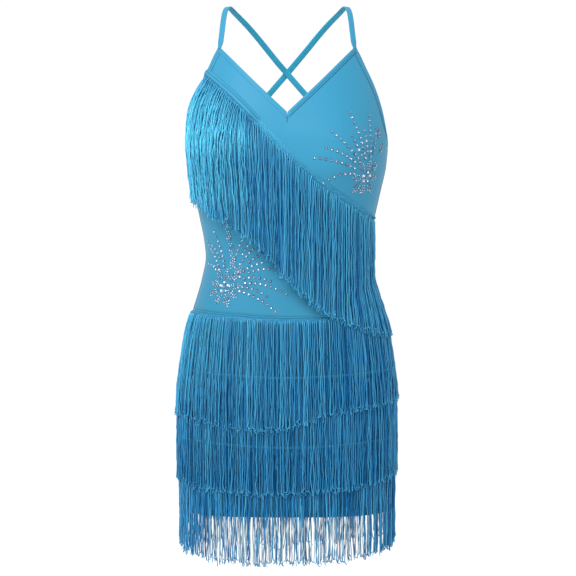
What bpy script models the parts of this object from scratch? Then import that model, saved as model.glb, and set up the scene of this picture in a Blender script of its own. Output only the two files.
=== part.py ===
"""Latin dance dress with a diagonal bodice fringe and three tiers of skirt fringe.

A close stretch-knit dress, filled out as when worn: a V neck, two straps that cross at the back, a low
scooped back, a front bodice in two panels that meet on a diagonal seam, and a short skirt. A fringe
hangs from a trim on the diagonal seam, and one from each of three trims that go right round the skirt.

Units are metres, +Z is up, the front faces -Y, and +X is on the right of someone looking at the front.
The origin lies midway between the tops of the two straps, level with their undersides, where the
wearer's shoulders carry the dress. Heights are therefore negative.

Every piece of cloth is a sheet laid on one form, which is given by horizontal sections, and the sheet
gets its thickness inwards from a Solidify modifier. A place on the form is an angle about the Z axis,
0 at the front centre and growing towards +X, and a height.
"""

import math
from collections import namedtuple

import bmesh
import bpy
import numpy as np
from mathutils import Vector

# Cloth and trimmings
CLOTH = 0.0015                  # stretch knit, turned double at its edges
SEAM_GAP = 0.0003               # between two pieces that are sewn edge to edge
SIDE_GAP = 0.0005               # the same at the side seams, whose walls lean together on the inside
BINDING_GAP = 0.0006            # between a curved binding and the cloth that it edges
LAY_GAP = 0.0006                # between a piece and what it lies on
BINDING_WIDTH = 0.007
BINDING_THICKNESS = 0.0022
BINDING_PROUD = 0.0003          # how far a binding stands out beyond the cloth that it edges
STRAP_WIDTH = 0.009
STRAP_THICKNESS = 0.002
TRIM_WIDTH = 0.008              # woven head of a fringe
TRIM_THICKNESS = 0.0019

# Heights at the front centre
NECK_POINT = -0.157             # foot of the V neck
NECK_SAG = 0.0012               # how far each side of the neckline sags below a straight line
STRAP_CORNER_X = 0.0945         # where neckline, armhole and strap meet
STRAP_CORNER = -0.0635
UNDERARM = -0.199
WAIST_SEAM = -0.4465
HEM = -0.726
SIDE_RISE = 0.007               # seams and trims are this much higher at the sides

# Fringes
TIER_TRIMS = (WAIST_SEAM - 0.001, -0.534, -0.632)   # top edge of each skirt trim, from the top
TIER_LOCKS = 48
TIER_LENGTH = 0.150
TIER_SEGMENTS = (5, 3, 2)       # faces down a lock of each tier: more where it bends over the hips
DIAGONAL_LOCKS = 42
DIAGONAL_LENGTHS = (0.188, 0.169)   # at the left end and at the right end
DIAGONAL_SEGMENTS = 8
LOCK_SHARE = 0.70               # share of a trim's length that its locks take, the rest is the gaps
GOLDEN = 0.618034              # spreads the lengths of the locks evenly and without a pattern
LOCK_TAPER = 0.80               # width of a lock's tip against its root
LENGTH_SPREAD = 0.04            # the shortest lock is this share shorter than the longest
LAYER = TRIM_THICKNESS + LAY_GAP
LAYER_RUN = 0.080               # height over which a fringe moves out to clear the trim below it
LAYER_LEAD = 0.012              # it has moved out this far above that trim
SWING = 0.0005                  # a lock hangs this much looser than its trim
FAN = 0.34                      # sideways run of the left-hand locks for each unit of fall, over the bust
FAN_START_X = -0.010            # locks to the left of this fan out, and fully at FAN_FULL_X
FAN_FULL_X = -0.050
FAN_END = -0.175                # height at which the fanning has died away

# The form: horizontal sections from the shoulders down to below the hem
Section = namedtuple("Section", "height half_width front back power")
SECTIONS = (
    Section(0.000, 0.0960, 0.060, 0.055, 2.20),
    Section(-0.066, 0.1130, 0.082, 0.078, 2.20),
    Section(-0.103, 0.1270, 0.092, 0.086, 2.20),
    Section(-0.137, 0.1380, 0.100, 0.091, 2.20),
    Section(-0.165, 0.1435, 0.106, 0.094, 2.20),
    Section(-0.197, 0.1460, 0.112, 0.095, 2.25),
    Section(-0.230, 0.1435, 0.113, 0.093, 2.30),
    Section(-0.265, 0.1360, 0.106, 0.089, 2.30),
    Section(-0.305, 0.1270, 0.098, 0.084, 2.30),
    Section(-0.345, 0.1195, 0.092, 0.081, 2.30),
    Section(-0.362, 0.1180, 0.091, 0.081, 2.30),
    Section(-0.395, 0.1238, 0.093, 0.085, 2.30),
    Section(-0.420, 0.1308, 0.096, 0.092, 2.30),
    Section(-0.445, 0.1386, 0.099, 0.100, 2.30),
    Section(-0.470, 0.1450, 0.102, 0.107, 2.30),
    Section(-0.500, 0.1490, 0.105, 0.112, 2.30),
    Section(-0.530, 0.1530, 0.107, 0.115, 2.30),
    Section(-0.560, 0.1555, 0.108, 0.116, 2.30),
    Section(-0.600, 0.1560, 0.108, 0.114, 2.30),
    Section(-0.650, 0.1540, 0.107, 0.110, 2.30),
    Section(-0.700, 0.1515, 0.106, 0.107, 2.30),
    Section(-0.730, 0.1503, 0.106, 0.106, 2.30),
    Section(-0.820, 0.1495, 0.106, 0.106, 2.30),
)

# The shape that the darts give the bust: how far the form swells, and where
Swell = namedtuple("Swell", "out angle spread height above below")
BUST = Swell(0.011, math.radians(36), math.radians(20), -0.212, 0.062, 0.048)

# Edges and seams as drawn from the front or the back: distance from the centre, and height
Mark = namedtuple("Mark", "x height")
ARMHOLE = (
    Mark(0.0992, STRAP_CORNER), Mark(0.1040, -0.072), Mark(0.1124, -0.090), Mark(0.1240, -0.114),
    Mark(0.1326, -0.137), Mark(0.1384, -0.158), Mark(0.1421, -0.176), Mark(0.1443, -0.187),
    Mark(0.1456, -0.195), Mark(0.1460, UNDERARM),
)
DIAGONAL = (
    Mark(-0.1250, -0.086), Mark(-0.1120, -0.098), Mark(-0.0740, -0.133), Mark(-0.0350, -0.173),
    Mark(0.0070, -0.215), Mark(0.0460, -0.251), Mark(0.0960, -0.286), Mark(0.1265, -0.307),
)
BACK_EDGE = (
    Mark(0.0000, -0.226), Mark(0.0300, -0.221), Mark(0.0600, -0.207), Mark(0.0850, -0.196),
    Mark(0.1150, -0.194), Mark(0.1360, -0.198), Mark(0.1460, UNDERARM),
)

# The strap on the +X side, along its middle, with the way its outer face looks
StrapPoint = namedtuple("StrapPoint", "x y z look_x look_y look_z")
STRAP = (
    StrapPoint(0.0953, -0.0440, -0.0540, 0.66, -0.72, 0.20),
    StrapPoint(0.0938, -0.0360, -0.0395, 0.62, -0.70, 0.36),
    StrapPoint(0.0922, -0.0260, -0.0225, 0.54, -0.58, 0.61),
    StrapPoint(0.0900, -0.0130, -0.0080, 0.34, -0.34, 0.88),
    StrapPoint(0.0855, 0.0030, 0.0005, 0.08, 0.08, 0.99),
    StrapPoint(0.0745, 0.0240, -0.0085, 0.10, 0.46, 0.88),
    StrapPoint(0.0600, 0.0420, -0.0220, 0.12, 0.66, 0.74),
    StrapPoint(0.0460, 0.0570, -0.0370, 0.10, 0.77, 0.63),
    StrapPoint(0.0290, 0.0700, -0.0570, 0.06, 0.86, 0.50),
    StrapPoint(0.0145, 0.0790, -0.0740, 0.03, 0.92, 0.37),
)
BackPoint = namedtuple("BackPoint", "x height")
STRAP_ON_BACK = (
    BackPoint(0.0000, -0.0910),
    BackPoint(-0.0145, -0.1075), BackPoint(-0.0290, -0.1240), BackPoint(-0.0580, -0.1570),
)
STRAP_LIFT = 0.0026             # outer face of a strap above the form at the back
STRAP_END_X = -0.0850           # where it meets the back edge
STRAP_STEPS = 44
CROSSING_NEAR = 0.010           # the straps part fully this near to where they cross,
CROSSING_FAR = 0.034            # and no longer at this distance

# Fineness of the sheets
COLUMN_STEP = math.radians(6.9)
ARMHOLE_PIECES = 14
EDGE_STEPS = 240
LEAST_HEIGHT = 0.0025           # a column of cloth that is shorter than this is left off

COLOURS = {"knit": (0.030, 0.350, 0.640, 1.0), "fringe": (0.018, 0.230, 0.480, 1.0)}


def clear_scene():
    for thing in list(bpy.data.objects):
        bpy.data.objects.remove(thing, do_unlink=True)


def smooth_curve(knots, values):
    """A curve through the values that never overshoots them (a monotone cubic)."""
    knots, values = np.array(knots, float), np.array(values, float)
    steps = np.diff(knots)
    slopes = np.diff(values) / steps
    tangents = np.concatenate(([slopes[0]], np.zeros(len(slopes) - 1), [slopes[-1]]))
    for i in range(1, len(slopes)):
        if slopes[i - 1] * slopes[i] > 0:
            near = 2 * steps[i] + steps[i - 1]
            far = steps[i] + 2 * steps[i - 1]
            tangents[i] = (near + far) / (near / slopes[i - 1] + far / slopes[i])

    def at(place):
        place = min(max(place, knots[0]), knots[-1])
        i = min(max(int(np.searchsorted(knots, place)) - 1, 0), len(steps) - 1)
        t = (place - knots[i]) / steps[i]
        return float(
            (2 * t**3 - 3 * t**2 + 1) * values[i]
            + (t**3 - 2 * t**2 + t) * steps[i] * tangents[i]
            + (3 * t**2 - 2 * t**3) * values[i + 1]
            + (t**3 - t**2) * steps[i] * tangents[i + 1]
        )

    return at


def section_column(name):
    depths = [-section.height for section in SECTIONS]
    return smooth_curve(depths, [getattr(section, name) for section in SECTIONS])


HALF_WIDTH = section_column("half_width")
FRONT = section_column("front")
BACK = section_column("back")
POWER = section_column("power")


def form_radius(angle, height):
    """Distance from the Z axis to the form: a superellipse, swollen at the bust."""
    depth = FRONT(-height) if math.cos(angle) > 0 else BACK(-height)
    power = POWER(-height)
    across = abs(math.sin(angle) / HALF_WIDTH(-height)) ** power
    along = abs(math.cos(angle) / depth) ** power
    reach = BUST.above if height > BUST.height else BUST.below
    swell = math.exp(-(((height - BUST.height) / reach) ** 2))
    swell *= math.exp(-(((abs(angle) - BUST.angle) / BUST.spread) ** 2))
    return (across + along) ** (-1 / power) + BUST.out * swell


def wrapped(angle):
    return (angle + math.pi) % (2 * math.pi) - math.pi


def form_normal(angle, height):
    """The way the form faces, from the slopes of its radius."""
    angle = wrapped(angle)
    radius = form_radius(angle, height)
    turn, drop = 1e-4, 1e-4
    around = (form_radius(angle + turn, height) - form_radius(angle - turn, height)) / (2 * turn * radius)
    up = (form_radius(angle, height + drop) - form_radius(angle, height - drop)) / (2 * drop)
    outwards = Vector((math.sin(angle), -math.cos(angle), 0))
    sideways = Vector((math.cos(angle), math.sin(angle), 0))
    return (outwards - around * sideways - up * Vector((0, 0, 1))).normalized()


def on_form(angle, height, out=0.0):
    """The point of the form at an angle and a height, moved out along the form's normal."""
    radius = form_radius(wrapped(angle), height)
    point = Vector((radius * math.sin(angle), -radius * math.cos(angle), height))
    return point + out * form_normal(angle, height)


def angle_at(x, height, back=False):
    """The angle at which the form is x from the centre, seen from the front or the back."""
    low, high = 0.0, math.pi / 2
    for _ in range(40):
        middle = (low + high) / 2
        seen = math.pi - middle if back else middle
        if form_radius(seen, height) * math.sin(middle) < abs(x):
            low = middle
        else:
            high = middle
    return math.copysign(low, x) if not back else math.pi - math.copysign(low, x)


def marked_edge(marks, back=False):
    """A fine line of (angle, height) along a row of marks, in order of growing angle."""
    places = np.cumsum([0.0] + [math.dist(a, b) for a, b in zip(marks, marks[1:])])
    x_at = smooth_curve(places, [mark.x for mark in marks])
    height_at = smooth_curve(places, [mark.height for mark in marks])
    line = []
    for place in np.linspace(0, places[-1], EDGE_STEPS + 1):
        line.append((angle_at(x_at(place), height_at(place), back), height_at(place)))
    return sorted(line)


def inset(line, distance):
    """The line moved by a distance over the cloth, down or to the side, square to itself."""
    moved = []
    for i, (angle, height) in enumerate(line):
        before, after = line[max(i - 1, 0)], line[min(i + 1, len(line) - 1)]
        radius = form_radius(wrapped(angle), height)
        along, up = (after[0] - before[0]) * radius, after[1] - before[1]
        length = math.hypot(along, up)
        moved.append((angle + distance * up / length / radius, height - distance * along / length))
    return moved


def height_along(line):
    """Height of a line as a function of the angle, running on straight past its two ends."""
    angles = np.array([angle for angle, _ in line])
    heights = np.array([height for _, height in line])

    def at(angle):
        if angle <= angles[0]:
            slope = (heights[1] - heights[0]) / max(angles[1] - angles[0], 1e-6)
            return heights[0] + slope * (angle - angles[0])
        if angle >= angles[-1]:
            slope = (heights[-1] - heights[-2]) / max(angles[-1] - angles[-2], 1e-6)
            return heights[-1] + slope * (angle - angles[-1])
        return float(np.interp(angle, angles, heights))

    return at


def neckline_marks():
    """The right half of the neckline: almost straight, and run on past the strap."""
    run_on = 1.25
    middle = Mark(STRAP_CORNER_X / 2, (NECK_POINT + STRAP_CORNER) / 2 - NECK_SAG)
    past = Mark(STRAP_CORNER_X * run_on, NECK_POINT + (STRAP_CORNER - NECK_POINT) * run_on)
    return (Mark(0.0, NECK_POINT), middle, Mark(STRAP_CORNER_X, STRAP_CORNER), past)


def tier_height(top, angle):
    """Height of a seam or trim round the skirt, a little higher at the sides."""
    return top + SIDE_RISE * math.sin(angle) ** 2


def mirrored(line):
    """The same line on the other side of the front centre."""
    return [(-angle, height) for angle, height in reversed(line)]


NECKLINE_EDGE = marked_edge(neckline_marks())
ARMHOLE_EDGE = marked_edge(ARMHOLE)
DIAGONAL_SEAM = marked_edge(DIAGONAL)
BACK_HALF = marked_edge(BACK_EDGE, back=True)
BACK_LINE = BACK_HALF + [(2 * math.pi - angle, height) for angle, height in reversed(BACK_HALF[:-1])]


def front_top(width):
    """Height of the front cloth's top edge, once the neckline and armholes have given up a width."""
    neckline = height_along(inset(NECKLINE_EDGE, width))
    armhole = height_along(inset(ARMHOLE_EDGE, width))
    return lambda angle: min(neckline(abs(angle)), armhole(abs(angle)))


def new_object(name, mesh, colour, collection, thickness):
    """An object of the mesh with a cloth material and, through Solidify, its thickness inwards."""
    thing = bpy.data.objects.new(name, mesh)
    collection.objects.link(thing)
    material = bpy.data.materials.get(colour) or bpy.data.materials.new(colour)
    material.use_nodes = True
    shader = material.node_tree.nodes["Principled BSDF"]
    shader.inputs["Base Color"].default_value = COLOURS[colour]
    shader.inputs["Roughness"].default_value = 0.75
    shader.inputs["Metallic"].default_value = 0.0
    mesh.materials.append(material)
    mesh.shade_smooth()
    solidify = thing.modifiers.new("thickness", "SOLIDIFY")
    solidify.thickness = thickness
    solidify.offset = -1.0
    solidify.use_even_offset = True
    return thing


def grid_mesh(name, grid, closed=False):
    """A sheet of quads through a grid of points, whose columns run from left to right."""
    mesh = bpy.data.meshes.new(name)
    sheet = bmesh.new()
    columns = [[sheet.verts.new(point) for point in column] for column in grid]
    pairs = list(zip(columns, columns[1:]))
    if closed:
        pairs.append((columns[-1], columns[0]))
    for left, right in pairs:
        for i in range(len(left) - 1):
            sheet.faces.new((left[i], right[i], right[i + 1], left[i + 1]))
    sheet.to_mesh(mesh)
    sheet.free()
    return mesh


def spread_angles(start, end, step, breaks=()):
    """Angles from start to end, about a step apart, that include the breaks between them."""
    stops = sorted({start, end, *(b for b in breaks if start < b < end)})
    angles = []
    for a, b in zip(stops, stops[1:]):
        count = max(1, round((b - a) / step))
        angles += list(np.linspace(a, b, count, endpoint=False))
    return angles + [end]


def span_of_cloth(bottom, top, start, end):
    """The widest span of angles in which the cloth is high enough to be built."""
    angles = np.linspace(start, end, 2000)
    tall = [a for a in angles if top(a) - bottom(a) >= LEAST_HEIGHT]
    return tall[0], tall[-1]


def panel(name, collection, bottom, top, start, end, rows, breaks=(), out=0.0, thickness=CLOTH):
    """Cloth between two heights, from one angle to another."""
    start, end = span_of_cloth(bottom, top, start, end)
    grid = []
    for angle in spread_angles(start, end, COLUMN_STEP, breaks):
        low, high = bottom(angle), top(angle)
        grid.append([on_form(angle, low + (high - low) * i / rows, out) for i in range(rows + 1)])
    return new_object(name, grid_mesh(name, grid), "knit", collection, thickness)


def side_gap(height):
    """Half of a side seam's gap, as an angle."""
    return SIDE_GAP / 2 / HALF_WIDTH(-height)


def even_picks(line, pieces):
    """Indices into a line that cut it into pieces of one length."""
    points = [on_form(*place) for place in line]
    run = np.cumsum([0.0] + [(b - a).length for a, b in zip(points, points[1:])])
    return [int(np.argmin(abs(run - stop))) for stop in np.linspace(0, run[-1], pieces + 1)]


def edging(name, collection, line, pieces, seams):
    """A binding along an edge line, whose ends at the side seams are cut to the seam."""
    inner = inset(line, BINDING_WIDTH)
    inner_at = height_along(inner)
    for end in seams:
        inner[end] = (line[end][0], inner_at(line[end][0]))
    grid = []
    for i in even_picks(line, pieces):
        grid.append([on_form(*inner[i], BINDING_PROUD), on_form(*line[i], BINDING_PROUD)])
    return new_object(name, grid_mesh(name, grid), "knit", collection, BINDING_THICKNESS)


def build_front(collection):
    gap = SEAM_GAP / 2 / math.cos(math.radians(40))
    top = front_top(BINDING_WIDTH + BINDING_GAP)
    diagonal = height_along(DIAGONAL_SEAM)
    side = math.pi / 2 - side_gap(UNDERARM)
    corner = angle_at(STRAP_CORNER_X, STRAP_CORNER)
    edge = inset(ARMHOLE_EDGE, BINDING_WIDTH + BINDING_GAP)
    edge = [edge[i] for i in even_picks(ARMHOLE_EDGE, ARMHOLE_PIECES)]
    right = [0.0, corner - 0.03] + [angle for angle, _ in edge]
    left = [0.03 - corner] + [-angle for angle, height in edge if height > DIAGONAL[1].height]
    low_left = [-angle for angle, height in edge if height < DIAGONAL[1].height]
    panel("front_upper_panel", collection, lambda a: diagonal(a) + gap, top, -side, side, 6, left + right)
    panel(
        "front_lower_panel", collection, lambda a: tier_height(WAIST_SEAM, a) + SEAM_GAP / 2,
        lambda a: min(top(a), diagonal(a) - gap), -side, side, 13, low_left + [0.0],
    )


def build_back(collection):
    top = height_along(inset(BACK_LINE, BINDING_WIDTH + BINDING_GAP))
    gap = side_gap(UNDERARM)
    panel(
        "back_panel", collection, lambda a: tier_height(WAIST_SEAM, a) + SEAM_GAP / 2, top,
        math.pi / 2 + gap, 1.5 * math.pi - gap, 11, (math.pi,),
    )


def build_skirt(collection):
    gap = side_gap(HEM)
    for name, middle in (("skirt_front_panel", 0.0), ("skirt_back_panel", math.pi)):
        start, end = middle - math.pi / 2 + gap, middle + math.pi / 2 - gap
        panel(
            name, collection, lambda a: HEM, lambda a: tier_height(WAIST_SEAM, a) - SEAM_GAP / 2,
            start, end, 8, (middle,),
        )


def build_bindings(collection):
    neckline = height_along(NECKLINE_EDGE)
    neckline_foot = height_along(inset(NECKLINE_EDGE, BINDING_WIDTH))
    armhole = height_along(inset(ARMHOLE_EDGE, BINDING_WIDTH + BINDING_GAP))
    for side, name in ((1, "neck_binding_right"), (-1, "neck_binding_left")):
        start, end = sorted((side * SEAM_GAP / 2 / FRONT(-NECK_POINT), side * 1.3))
        panel(
            name, collection, lambda a: neckline_foot(abs(a)), lambda a: min(neckline(abs(a)), armhole(abs(a))),
            start, end, 1, out=BINDING_PROUD, thickness=BINDING_THICKNESS,
        )
    line = [(min(angle, math.pi / 2 - side_gap(UNDERARM)), height) for angle, height in ARMHOLE_EDGE]
    edging("armhole_binding_right", collection, line, ARMHOLE_PIECES, (-1,))
    edging("armhole_binding_left", collection, mirrored(line), ARMHOLE_PIECES, (0,))
    start = math.pi / 2 + side_gap(UNDERARM)
    line = [(min(max(angle, start), 2 * math.pi - start), height) for angle, height in BACK_LINE]
    edging("back_binding", collection, line, 36, (0, -1))


def strap_line():
    """Middle of the +X strap and the way it looks, from the armhole over the shoulder to the back edge."""
    inner, outer = (on_form(*line[0], BINDING_PROUD) for line in (inset(ARMHOLE_EDGE, BINDING_WIDTH), ARMHOLE_EDGE))
    look = form_normal(*ARMHOLE_EDGE[0])
    points = [(inner + outer) / 2 + SEAM_GAP * look.cross(outer - inner).normalized()]
    looks = [look]
    points += [Vector(point[:3]) for point in STRAP]
    looks += [Vector(point[3:]).normalized() for point in STRAP]
    back_edge = height_along(BACK_LINE)
    end_height = back_edge(angle_at(STRAP_END_X, -0.19, back=True)) + 2 * SEAM_GAP
    for x, height in (*STRAP_ON_BACK, BackPoint(STRAP_END_X, end_height)):
        angle = angle_at(x, height, back=True)
        lift = BINDING_PROUD if x == STRAP_END_X else STRAP_LIFT
        points.append(on_form(angle, height, lift))
        looks.append(form_normal(angle, height))
    return points, looks


def blend(value, near, far):
    """1 up to near, 0 from far on, and smooth between them."""
    t = min(max((far - value) / (far - near), 0.0), 1.0)
    return t * t * (3 - 2 * t)


def strap_grid(side):
    """The two edges of a strap: it passes outside the other strap on the +X side, and inside it on the -X."""
    points, looks = strap_line()
    places = np.cumsum([0.0] + [(b - a).length for a, b in zip(points, points[1:])])
    point_at = [smooth_curve(places, [point[k] for point in points]) for k in range(3)]
    look_at = [smooth_curve(places, [look[k] for look in looks]) for k in range(3)]
    stops = np.linspace(0, places[-1], STRAP_STEPS + 1)
    middle = [Vector([at(stop) for at in point_at]) for stop in stops]
    grid = []
    for i, point in enumerate(middle):
        look = Vector([at(stops[i]) for at in look_at]).normalized()
        ahead = middle[min(i + 1, STRAP_STEPS)] - middle[max(i - 1, 0)]
        across = ahead.cross(look).normalized()
        if i == 0:
            inner, outer = (on_form(*line[0]) for line in (inset(ARMHOLE_EDGE, BINDING_WIDTH), ARMHOLE_EDGE))
            across = (outer - inner).normalized()
        if i == STRAP_STEPS:
            across = Vector((across.x, across.y, 0)).normalized()
        width = STRAP_WIDTH + (BINDING_WIDTH - STRAP_WIDTH) * blend(stops[i], 0.0, 0.02)
        if point.y > 0:
            parting = blend(abs(point.x), CROSSING_NEAR, CROSSING_FAR) * (STRAP_THICKNESS + LAY_GAP) / 2
            point = point + look * side * parting
        edges = [point - across * width / 2, point + across * width / 2]
        grid.append([Vector((side * edge.x, edge.y, edge.z)) for edge in edges])
    return grid


def build_straps(collection):
    for side, name in ((1, "strap_right"), (-1, "strap_left")):
        grid = strap_grid(side)
        if side > 0:
            grid = [column[::-1] for column in grid]
        new_object(name, grid_mesh(name, grid), "knit", collection, STRAP_THICKNESS)


def fringe_out(trims_below, angle, height):
    """How far a lock's outer face stands off the form: one layer, and one more over each trim below."""
    layers = 1.0
    for top in trims_below:
        start = tier_height(top, angle) + LAYER_LEAD + LAYER_RUN
        layers += min(max((start - height) / LAYER_RUN, 0.0), 1.0)
    return LAYER * layers + SWING


def hang(root, length, segments, trims_below, fan):
    """Points down a lock that falls straight from its root and lies on whatever stands out below it."""
    fall = 0.004
    path, run = [root.copy()], [0.0]
    point = root.copy()
    while run[-1] < length + fall:
        below = point - Vector((0, 0, fall))
        angle = math.atan2(below.x, -below.y)
        slip = fan * fall * (1 - blend(point.z, FAN_END, FAN_END + 0.06))
        below -= slip * Vector((math.cos(angle), math.sin(angle), 0))
        for _ in range(4):
            angle = math.atan2(below.x, -below.y)
            face = form_normal(angle, below.z)
            off = math.hypot(below.x, below.y) - form_radius(angle, below.z)
            outwards = Vector((math.sin(angle), -math.cos(angle), 0))
            short = fringe_out(trims_below, angle, below.z) - off * outwards.dot(face)
            if short > 0:
                level = Vector((face.x, face.y, 0))
                below += level * short / level.length_squared
        run.append(run[-1] + (below - point).length)
        path.append(below)
        point = below
    stops = [length * i / segments for i in range(segments + 1)]
    return [Vector([np.interp(stop, run, [p[k] for p in path]) for k in range(3)]) for stop in stops]


def add_lock(sheet, roots, length, segments, trims_below, fan):
    """One lock from the lower edge of a trim, as a strip of faces that narrows to its tip."""
    left, right = roots
    width = math.hypot(right.co.x - left.co.x, right.co.y - left.co.y)
    path = hang((left.co + right.co) / 2, length, segments, trims_below, fan)
    for i, point in enumerate(path[1:], 1):
        face = form_normal(math.atan2(point.x, -point.y), point.z)
        half = Vector((-face.y, face.x, 0)).normalized() * width / 2
        half *= 1 + (LOCK_TAPER - 1) * i / segments
        next_left, next_right = sheet.verts.new(point - half), sheet.verts.new(point + half)
        sheet.faces.new((next_left, next_right, right, left))
        left, right = next_left, next_right


def fringe(name, collection, top, bottom, span, locks, lengths, segments, trims_below):
    """A trim on the form with locks that hang from its lower edge: one comb-shaped sheet."""
    start, end = span
    closed = end - start > 6.28
    pitch = (end - start) / (locks if closed else locks - 1 + LOCK_SHARE)
    angles = [start + pitch * (i + share) for i in range(locks) for share in (0.0, LOCK_SHARE)]
    mesh = bpy.data.meshes.new(name)
    sheet = bmesh.new()
    uppers = [sheet.verts.new(on_form(angle, top(angle), LAYER)) for angle in angles]
    lowers = [sheet.verts.new(on_form(angle, bottom(angle), LAYER)) for angle in angles]
    for i in range(len(angles) if closed else len(angles) - 1):
        j = (i + 1) % len(angles)
        sheet.faces.new((lowers[i], lowers[j], uppers[j], uppers[i]))
    for i in range(locks):
        roots = lowers[2 * i], lowers[2 * i + 1]
        share = i / (locks - 1)
        length = lengths[0] + (lengths[1] - lengths[0]) * share
        length *= 1 - LENGTH_SPREAD * ((i * GOLDEN) % 1.0)
        fan = 0.0 if closed else FAN * (1 - blend(-roots[0].co.x, -FAN_START_X, -FAN_FULL_X))
        add_lock(sheet, roots, length, segments, trims_below, fan)
    sheet.to_mesh(mesh)
    sheet.free()
    return new_object(name, mesh, "fringe", collection, TRIM_THICKNESS)


def build_fringes(collection):
    for number, (top, segments) in enumerate(zip(TIER_TRIMS, TIER_SEGMENTS), 1):
        fringe(
            f"skirt_fringe_{number}", collection,
            lambda a, top=top: tier_height(top, a), lambda a, top=top: tier_height(top, a) - TRIM_WIDTH,
            (-math.pi, math.pi), TIER_LOCKS, (TIER_LENGTH, TIER_LENGTH), segments, TIER_TRIMS[number:],
        )
    fringe(
        "diagonal_fringe", collection, height_along(DIAGONAL_SEAM),
        height_along(inset(DIAGONAL_SEAM, TRIM_WIDTH)), (diagonal_start(), math.pi / 2 - side_gap(UNDERARM)),
        DIAGONAL_LOCKS, DIAGONAL_LENGTHS, DIAGONAL_SEGMENTS, TIER_TRIMS,
    )


def diagonal_start():
    """Angle at which the diagonal seam leaves the left armhole's edge."""
    seam, armhole = height_along(DIAGONAL_SEAM), height_along(mirrored(ARMHOLE_EDGE))
    angles = np.linspace(-math.pi / 2, 0, 4000)
    return float(next(angle for angle in angles if armhole(angle) - seam(angle) >= 0.001))


def main():
    clear_scene()
    collection = bpy.data.collections.new("latin_dance_dress")
    bpy.context.scene.collection.children.link(collection)
    build_front(collection)
    build_back(collection)
    build_skirt(collection)
    build_bindings(collection)
    build_straps(collection)
    build_fringes(collection)


main()
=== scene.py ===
"""Latin dance dress: stretch-knit bodice and skirt, chainette fringe, sewing and rhinestones.

Laid out as an add-on and run as a script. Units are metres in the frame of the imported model: +Z is up, the
front faces -Y, +X is on the right of someone looking at the front, and the origin lies between the strap
tops. A place on the dress is an angle about the Z axis, 0 at the front centre and growing towards +X, and
a height, which is negative below the strap tops. Lines and paths are numpy arrays of such places or points.
"""

import math
from collections import namedtuple

import bpy
import numpy as np
from bpy.props import FloatProperty, FloatVectorProperty, IntProperty, PointerProperty
from bpy.types import Operator, Panel, PropertyGroup
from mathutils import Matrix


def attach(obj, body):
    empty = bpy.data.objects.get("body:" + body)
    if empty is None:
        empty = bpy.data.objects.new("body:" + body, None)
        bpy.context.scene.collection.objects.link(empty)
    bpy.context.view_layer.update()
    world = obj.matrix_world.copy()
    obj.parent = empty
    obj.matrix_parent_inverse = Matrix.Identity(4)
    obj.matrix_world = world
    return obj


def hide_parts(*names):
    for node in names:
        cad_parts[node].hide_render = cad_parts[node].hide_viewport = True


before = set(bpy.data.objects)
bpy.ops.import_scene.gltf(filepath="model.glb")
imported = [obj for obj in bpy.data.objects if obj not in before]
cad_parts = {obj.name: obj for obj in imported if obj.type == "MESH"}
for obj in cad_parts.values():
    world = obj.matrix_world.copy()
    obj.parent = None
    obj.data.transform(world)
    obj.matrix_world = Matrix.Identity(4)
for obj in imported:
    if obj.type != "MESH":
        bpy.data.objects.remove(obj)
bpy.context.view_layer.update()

bl_info = {
    "name": "Latin Dance Dress",
    "version": (1, 0, 0),
    "blender": (4, 5, 0),
    "location": "3D View > Sidebar > Dance Dress",
    "description": "Builds a fringed and rhinestoned latin dance dress on its frame",
    "category": "Object",
}

BODY = "root"

# Cloth and trimmings, as on the frame
BINDING_WIDTH = 0.007
BINDING_THICKNESS = 0.0022
STRAP_WIDTH = 0.009
STRAP_THICKNESS = 0.002
TRIM_WIDTH = 0.008
TRIM_THICKNESS = 0.0019
LAY_GAP = 0.0006
LAYER = TRIM_THICKNESS + LAY_GAP    # how far one trim or fringe builds the dress out

# Heights at the front centre
NECK_POINT = -0.157
NECK_SAG = 0.0012               # how far the neckline hangs below a straight line
STRAP_CORNER_X = 0.0945
STRAP_CORNER = -0.0635
UNDERARM = -0.199
WAIST_SEAM = -0.4465
HEM = -0.7275
SIDE_RISE = 0.007               # the seams and trims of the skirt are this much higher at the sides
HEM_DROOP = 0.003               # and the hem is this much lower there

# Fringes
TIER_TRIMS = (WAIST_SEAM - 0.001, -0.534, -0.632)
# Length of the strands of each tier, by the way they face: degrees from the front, to the right
TIER_LENGTHS = (
    ((-180, 0.150), (-120, 0.150), (-90, 0.1505), (-60, 0.1545), (-25, 0.159), (0, 0.155), (14, 0.146),
     (37, 0.1375), (57, 0.1335), (90, 0.130), (130, 0.145), (180, 0.150)),
    ((-180, 0.150), (-120, 0.152), (-90, 0.155), (-60, 0.162), (-35, 0.162), (0, 0.161), (30, 0.159),
     (55, 0.156), (90, 0.148), (120, 0.149), (180, 0.150)),
    ((-180, 0.181), (-115, 0.165), (-90, 0.151), (-72, 0.160), (-35, 0.163), (0, 0.160), (20, 0.1615),
     (58, 0.158), (76, 0.154), (90, 0.144), (115, 0.160), (180, 0.181)),
)
DIAGONAL_LENGTHS = (0.188, 0.169)   # at the left end and at the right end
LAYER_RUN = 0.080               # height over which a fringe moves out to clear the trim below it
LAYER_LEAD = 0.012              # it has moved out this far above that trim
FALL = 0.004                    # step of height in which a strand's fall is worked out
FAN_START_X = -0.010            # strands to the left of this fan out, and fully at FAN_FULL_X
FAN_FULL_X = -0.050
FAN_END = -0.175                # height at which the fanning has died away
FAN_FADE = 0.06                 # height over which it dies away
SETTLE = 0.10                   # inward run of the fanned strands below the fullest of the bust
SETTLE_DEPTHS = (0.185, 0.205)      # they start to run inwards at the first depth, and fully at the second
TIP = 0.009                     # length of a strand's tip, which curls
TIP_STEPS = 4                   # steps down the tip
ROOT_SINK = 0.0008              # how deep the strands' roots lie in the trim's head
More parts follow.
